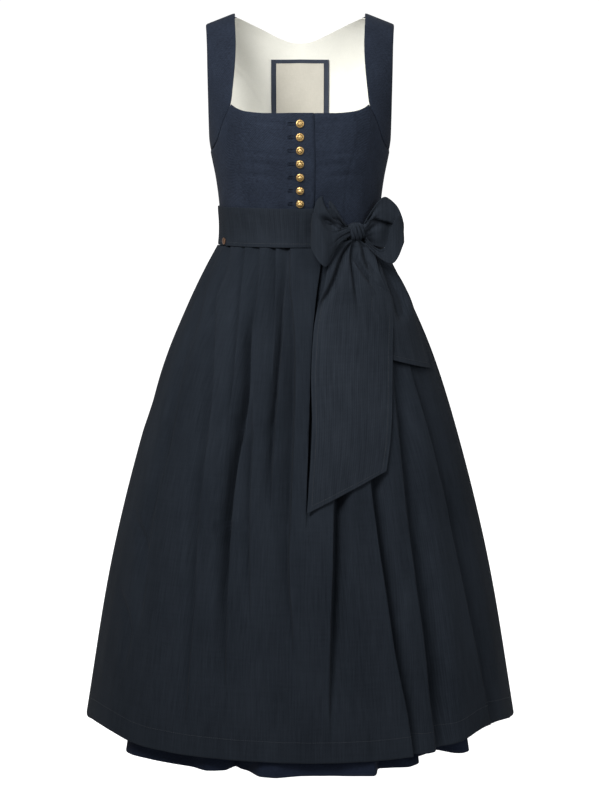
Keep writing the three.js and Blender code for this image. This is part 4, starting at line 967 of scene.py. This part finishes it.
def loop_grid(stations, seed, fold, lean):
    """One loop: columns through the stations, rows from low to top, crowned and with folds from the knot.

    It leans back towards its top by so many mm, most halfway along it."""
    t = mix(0, len(stations) - 1, steps(112, (0.01, 0.03, 0.05)))
    x, y, top, low = [v[None] for v in path(stations, t)]
    up = steps(54, (0.01, 0.03, 0.05))[:, None]
    share = (t / (len(stations) - 1))[None]
    grid = np.stack([x + 0 * up, y + 0 * up, mix(low, top, up)], -1)
    grid[..., 1] += fold(grid[..., 0], grid[..., 2], share) + lean * (up - 0.5) * np.sin(math.pi * share)
    crown = 3.0 * np.sin(math.pi * up) * bump(share, 0.22, 0.15)
    from_knot = bump(share, 0, 0.14) + bump(share, 1, 0.13)
    folds = 1.5 * np.sin(up * 15 + 0.7) * from_knot + 0.7 * np.sin(up * 31 + seed) * from_knot
    soft = 0.8 * ripples(share * 190, up * 60, 34, seed)
    return grid, -crown + folds + soft * np.sin(math.pi * up)


def power(v, n):
    """A power that keeps the sign."""
    return np.sign(v) * np.abs(v) ** n


def knot_grid():
    """The knot: a squared ball, wrapped in slanting turns of cloth that pinch at the top and bottom."""
    around = np.radians(np.linspace(0, 360, 121)[:-1])[None]
    height = np.radians(np.linspace(-84, 84, 61))[:, None]
    across = power(np.cos(height), 0.75) * power(np.sin(around), 0.8)
    deep = power(np.cos(height), 0.75) * power(np.cos(around), 0.8)
    up = power(np.sin(height), 0.85) + 0 * around
    wrap = np.sin(across * 14 + up * 3.4 + 0.8 * np.sin(up * 2.4 + 1))
    fine = np.sin(across * 31 + up * 7.5 + 2)
    groove = 1 - 0.42 * (0.5 - 0.5 * wrap) ** 3 - 0.06 * (0.5 - 0.5 * fine)
    x, y = across * KNOT_HALF[0], -deep * KNOT_HALF[1] * groove
    z = up * KNOT_HALF[2] * (0.7 + 0.3 * groove)
    cosine, sine = math.cos(KNOT_TURN), math.sin(KNOT_TURN)
    return np.stack([KNOT[0] + x * cosine - y * sine, KNOT[1] + x * sine + y * cosine, KNOT[2] + z], -1)


# (left x, left z, right x, right z, stand-off, fold height), from the tip up to the knot
LONG_END = [(10, -729, 124.5, -672, 7.4, 0), (12.6, -690, 128.5, -645, 7.4, 0),
            (15.2, -650, 131.5, -618, 7.4, 0), (17.3, -600, 133, -580, 7.4, 0.4),
            (16, -540, 133.8, -530, 7.4, 0.8), (17.3, -499, 134, -495, 7.4, 1.4),
            (20, -464, 133.6, -452, 8, 2.5), (25.5, -434, 125, -426, 9, 5), (32, -409, 114, -404, 9.5, 10),
            (37, -380, 106, -385, 10.5, 11), (43, -356, 100, -366, 12, 10.5), (54, -343, 93, -352, 14, 7.5),
            (66, -339, 84, -342, 15, 3), (70, -337, 80, -338, 15.5, 0.5)]
SHORT_END = [(100, -503, 196, -535, 5.4, 0), (99, -480, 188, -505, 5.4, 0), (97, -450, 175, -465, 5.4, 4.5),
             (96, -420, 162, -428, 5.2, 10), (94, -392, 143, -396, 5.2, 12.5), (92, -368, 124, -371, 5.4, 9),
             (90, -347.6, 102, -348, 6.5, 0.8)]

# depth, width, the height where it starts, over how far it grows, and (height, share across) of its place
LONG_VALLEYS = [
    (1.0, 0.055, -470, 50, [(-450, 0.03), (-425, 0.08), (-408, 0.14), (-392, 0.2), (-370, 0.255),
                            (-343, 0.32)]),
    (0.9, 0.05, -480, 90, [(-440, 0.57), (-392, 0.54), (-370, 0.5), (-343, 0.42)]),
    (1.0, 0.05, -440, 40, [(-425, 0.96), (-408, 0.87), (-392, 0.77), (-378, 0.66), (-366, 0.57),
                           (-343, 0.5)]),
    (0.8, 0.09, -400, 25, [(-390, 0.9), (-370, 0.83), (-350, 0.8)])]


def long_folds(share, z):
    """Valleys of the long end, each a bell across whose place moves down the cloth: 1 is the deepest."""
    total = 0 * (share + z)
    for depth, width, start, reach, places in LONG_VALLEYS:
        total = total + depth * bump(share, through(places, z), width) * ramp((z - start) / reach)
    return np.clip(total, 0, 1.1)


def short_folds(share, z):
    """The short end's one deep valley beside the long end, and its outer edge lying down again."""
    place = through([(-460, 0.65), (-446, 0.67), (-428, 0.67), (-410, 0.63), (-384, 0.64), (-363, 0.72)], z)
    valley = 3.0 * bump(share, place, 0.095) * ramp((z + 470) / 40)
    return np.minimum(np.maximum(valley, 0.85 * ramp((share - 0.84) / 0.16)), 1)


def end_grid(rows, folds, seed):
    """A hanging end that follows the apron at its stand-off, with its folds and a little drift."""
    t = mix(0, len(rows) - 1, steps(110))[:, None]
    left_x, left_z, right_x, right_z, stand, height = path(rows, t)
    share = steps(68, (0.006, 0.016, 0.03))[None]
    x, z = mix(left_x, right_x, share), mix(left_z, right_z, share)
    angle = angle_at(SKIRT, x, z)
    _, _, out_x, out_y = hull(SKIRT, angle, z)
    lift = stand + height * (1 - folds(share, z))
    lift = lift + 0.5 * ripples(x, z, 55, seed, 5) * ramp((-370 - z) / 60)
    return np.stack([x + out_x * lift, -depth_at(SKIRT, x, z, False) + out_y * lift, z], -1)


def along_grid(grid, rows, columns, out):
    """A line of points on a grid, read between its rows and columns by shares and lifted outwards."""
    outward = normals(grid)
    i = np.clip(rows, 0, 1) * (grid.shape[0] - 1)
    j = np.clip(columns, 0, 1) * (grid.shape[1] - 1)
    i0, j0 = np.minimum(i.astype(int), grid.shape[0] - 2), np.minimum(j.astype(int), grid.shape[1] - 2)
    a, b = (i - i0)[:, None], (j - j0)[:, None]

    def read(g):
        return mix(mix(g[i0, j0], g[i0, j0 + 1], b), mix(g[i0 + 1, j0], g[i0 + 1, j0 + 1], b), a)
    normal = read(outward)
    return read(grid) + normal * out, normal


def sew_end(name, grid, inset):
    """Topstitching round a hanging end, at shares of its rows and columns that keep the inset in mm."""
    t = np.linspace(0, 1, 200)
    tall = np.linalg.norm(np.diff(grid, axis=0), axis=2).sum(0).mean()
    wide = np.linalg.norm(grid[:, -1] - grid[:, 0], axis=1)
    foot, side = inset / tall, inset / wide.max()
    up = mix(foot, 0.6, t)
    rows = np.concatenate([up[::-1], np.full_like(t, foot), up])
    columns = np.concatenate([np.full_like(t, side), mix(side, 1 - side, t), np.full_like(t, 1 - side)])
    line, normal = along_grid(grid, rows, columns, 0.05)
    sew(name, line, normal, 3.0, 2.0, CHARCOAL_THREAD, "apron_cloth")


def make_bow():
    """Knot, loops and hanging ends."""
    cloth = (SASH_WALL, SASH_PAINTED_LIGHTER, "apron_cloth")
    left, left_lift = loop_grid(LEFT_LOOP, 5, left_fold, 8)
    right, right_lift = loop_grid(RIGHT_LOOP, 6, right_fold, 16)
    pieces = [wall("bow_loop_left", left, *cloth, left_lift),
              wall("bow_loop_right", right, *cloth, right_lift)]
    rounds("bow_knot", knot_grid(), SASH_PAINTED_LIGHTER, "apron_cloth")
    ends = {"long": end_grid(LONG_END, long_folds, 61), "short": end_grid(SHORT_END, short_folds, 62)}
    for size, grid in ends.items():
        pieces.append(wall(f"bow_end_{size}", grid, *cloth))
    for size, grid in ends.items():
        sew_end(f"{size}_end_stitches", grid, 8)
    return pieces


# ------------------------------------------------------------------ metal pieces and sewing
# (radius, height) of a button's rings from its foot to its tip, then of the stud's
BUTTON_RINGS = np.array([(3.2, 0), (5.2, 0), (5.7, 0.25), (6.0, 0.7), (6.0, 1.15), (5.8, 1.5), (5.45, 1.65),
                         (5.1, 1.6), (4.8, 1.75), (4.4, 2.2), (4.0, 2.7), (3.5, 3.15), (3.0, 3.5),
                         (2.5, 3.75), (2.1, 3.8), (1.8, 3.75), (1.5, 4.1), (1.15, 4.45), (0.8, 4.65),
                         (0.45, 4.74), (0.18, 4.77)])
STUD_RINGS = np.array([(4.7, 0), (5.3, 0.15), (5.5, 0.5), (5.3, 0.85), (4.9, 0.95), (4.4, 1.0), (3.8, 1.35),
                       (3.0, 1.7), (2.0, 1.92), (1.0, 2.0), (0.3, 2.0)])
STUD_PLACE = (-113.0, -343.0)


def button_points(z):
    """A domed button: rings whose height is a rim, a hollow with eight petals and a raised middle."""
    around = np.radians(np.linspace(0, 360, 65)[:-1])[None]
    rings, lift = BUTTON_RINGS[:, :1], BUTTON_RINGS[:, 1:]
    petals = np.cos(8 * around) * bump(rings, 3.6, 1.1) * 0.75 * (lift > 1.7)
    lift = lift + petals + 0.12 * np.cos(24 * around) * bump(rings, 5.35, 0.35) * (lift > 1.4)
    local = np.stack([rings * np.sin(around), -lift - 0 * around, rings * np.cos(around)], -1)
    lean = math.atan((depth_at(BODICE, 0, z + 4, False) - depth_at(BODICE, 0, z - 4, False)) / 8)
    y = local[..., 1] * math.cos(lean) - local[..., 2] * math.sin(lean)
    up = local[..., 1] * math.sin(lean) + local[..., 2] * math.cos(lean)
    front = -depth_at(BODICE, 0.0, z, False) - OVERLAP_LIFT - SEAM_GAP - 0.1
    return np.stack([local[..., 0], y + front, up + z], -1)


def stud_points():
    """A plain domed stud on the band: a flat rim and a low smooth dome."""
    around = np.radians(np.linspace(0, 360, 49)[:-1])[None]
    x, z = STUD_PLACE
    foot_x, foot_y, out_x, out_y = hull(BODICE, angle_at(BODICE, x, z), z)
    base = BAND_LIFT + SEAM_GAP + 0.1 + STUD_RINGS[:, 1:]
    side, up = STUD_RINGS[:, :1] * np.sin(around), STUD_RINGS[:, :1] * np.cos(around)
    return np.stack([foot_x + out_x * base - out_y * side, foot_y + out_y * base + out_x * side, z + up], -1)


def make_metal():
    """Seven buttons down the front and the stud at the band's end."""
    for i in range(BUTTONS):
        rounds(f"button_{i + 1}", button_points(BUTTON_TOP - BUTTON_PITCH * i), GOLD, "buttons")
    rounds("band_stud", stud_points(), COPPER, "stud")


def make_buttonholes():
    """Each buttonhole: two rows of thread beside its slit, with a bar at the end left of its button; slit,
    rows and bar are all near-black painted shade of the slit and of the gaps beside its stitches.
    """
    middle = BUTTON_TOP - BUTTON_PITCH * np.arange(BUTTONS)
    along_x, along_z, forwards = (1.0, 0.0, 0.0), (0.0, 0.0, 1.0), np.tile([(0.0, -1.0, 0.0)], (BUTTONS, 1))
    for name, x, up, direction, length, width, height in (
            ("upper", -11.8, 1.9, along_x, 11.6, 0.8, 0.3), ("lower", -11.8, -1.9, along_x, 11.6, 0.8, 0.3),
            ("slits", -11.8, 0.0, along_x, 10.6, 0.3, 0.2), ("bars", -17.8, 0.0, along_z, 4.6, 0.7, 0.3)):
        z = middle + up
        here = bodice_at(x + 0 * z, z, False)
        here[:, 1] -= front_lift(-x + 0 * z, z, True) + 0.12
        towards = np.tile([direction], (BUTTONS, 1))
        threads(f"buttonhole_{name}", here, towards, forwards, length, width, SLIT_PAINTED_SHADE, "bodice_cloth", height)


# ------------------------------------------------------------------ studio
FLOOR_HALF, FLOOR_Z = 30, -1.37
# name, place, aim, size, power, spread
LIGHTS = (("key", (-0.8, -1.6, 0.95), (0, 0, -0.42), 1.0, 14.5, 75),
          ("fill", (1.9, -2.3, 0.7), (0, 0, -0.3), 1.8, 35, 180),
          ("back", (0.5, 3.0, 1.6), (0, 0, -0.5), 2.2, 18, 180))


def stand(name, data, place, aim=None):
    """An object of the studio at its place, turned so that it looks at its aim."""
    thing = bpy.data.objects.new(name, data)
    thing.location = place
    if aim:
        thing.rotation_euler = (Vector(aim) - thing.location).to_track_quat("-Z", "Y").to_euler()
    bpy.context.scene.collection.objects.link(thing)
    return thing


def make_floor():
    """A pale floor that the camera sees nearly white and that gives the cloth little light."""
    mesh = bpy.data.meshes.new("floor")
    corners = [(x * FLOOR_HALF, y * FLOOR_HALF, FLOOR_Z) for x, y in ((-1, -1), (1, -1), (1, 1), (-1, 1))]
    mesh.from_pydata(corners, [], [(0, 1, 2, 3)])
    floor = stand("floor", mesh, (0, 0, 0))
    paint = Nodes("studio_floor")
    seen = paint.add("ShaderNodeLightPath").outputs["Is Camera Ray"]
    paint.shader.inputs["Emission Color"].default_value = (1, 1, 1, 1)
    paint.put(paint.sum("MULTIPLY_ADD", seen, 0.84, 0.18), paint.shader.inputs["Emission Strength"])
    floor.data.materials.append(paint.finish((0.6, 0.6, 0.6, 1), 0.9, Specular_IOR_Level=0.0))


def make_world():
    """White paper behind the dress for the camera, and a dimmer even glow for the cloth."""
    world = bpy.data.worlds.new("studio")
    world.use_nodes = True
    nodes, links = world.node_tree.nodes, world.node_tree.links
    paper, glow = nodes["Background"], nodes.new("ShaderNodeBackground")
    blend, seen = nodes.new("ShaderNodeMixShader"), nodes.new("ShaderNodeLightPath")
    for background, strength in ((paper, 1.05), (glow, 0.28)):
        background.inputs["Color"].default_value = (1, 1, 1, 1)
        background.inputs["Strength"].default_value = strength
    links.new(seen.outputs["Is Camera Ray"], blend.inputs[0])
    links.new(glow.outputs[0], blend.inputs[1])
    links.new(paper.outputs[0], blend.inputs[2])
    links.new(blend.outputs[0], nodes["World Output"].inputs[0])
    bpy.context.scene.world = world


def make_studio():
    """Floor, camera, soft lights and world."""
    make_floor()
    camera = stand("camera", bpy.data.cameras.new("camera"), (0, -2.8, -0.19), (0, 0, -0.595))
    camera.data.lens = 81
    camera.data.sensor_width = 36
    bpy.context.scene.camera = camera
    for name, place, aim, size, power, spread in LIGHTS:
        light = stand(name, bpy.data.lights.new(name, "AREA"), place, aim)
        light.data.size = size
        light.data.energy = power
        light.data.spread = math.radians(spread)
    make_world()
    bpy.context.scene.view_settings.view_transform = "Standard"


# ------------------------------------------------------------------ scene
make_studio()
make_bodice()
skirt_front, skirt_back, apron = make_skirt()
make_band()
loop_left, loop_right, end_long, end_short = make_bow()
make_metal()
make_buttonholes()
sew_hem()
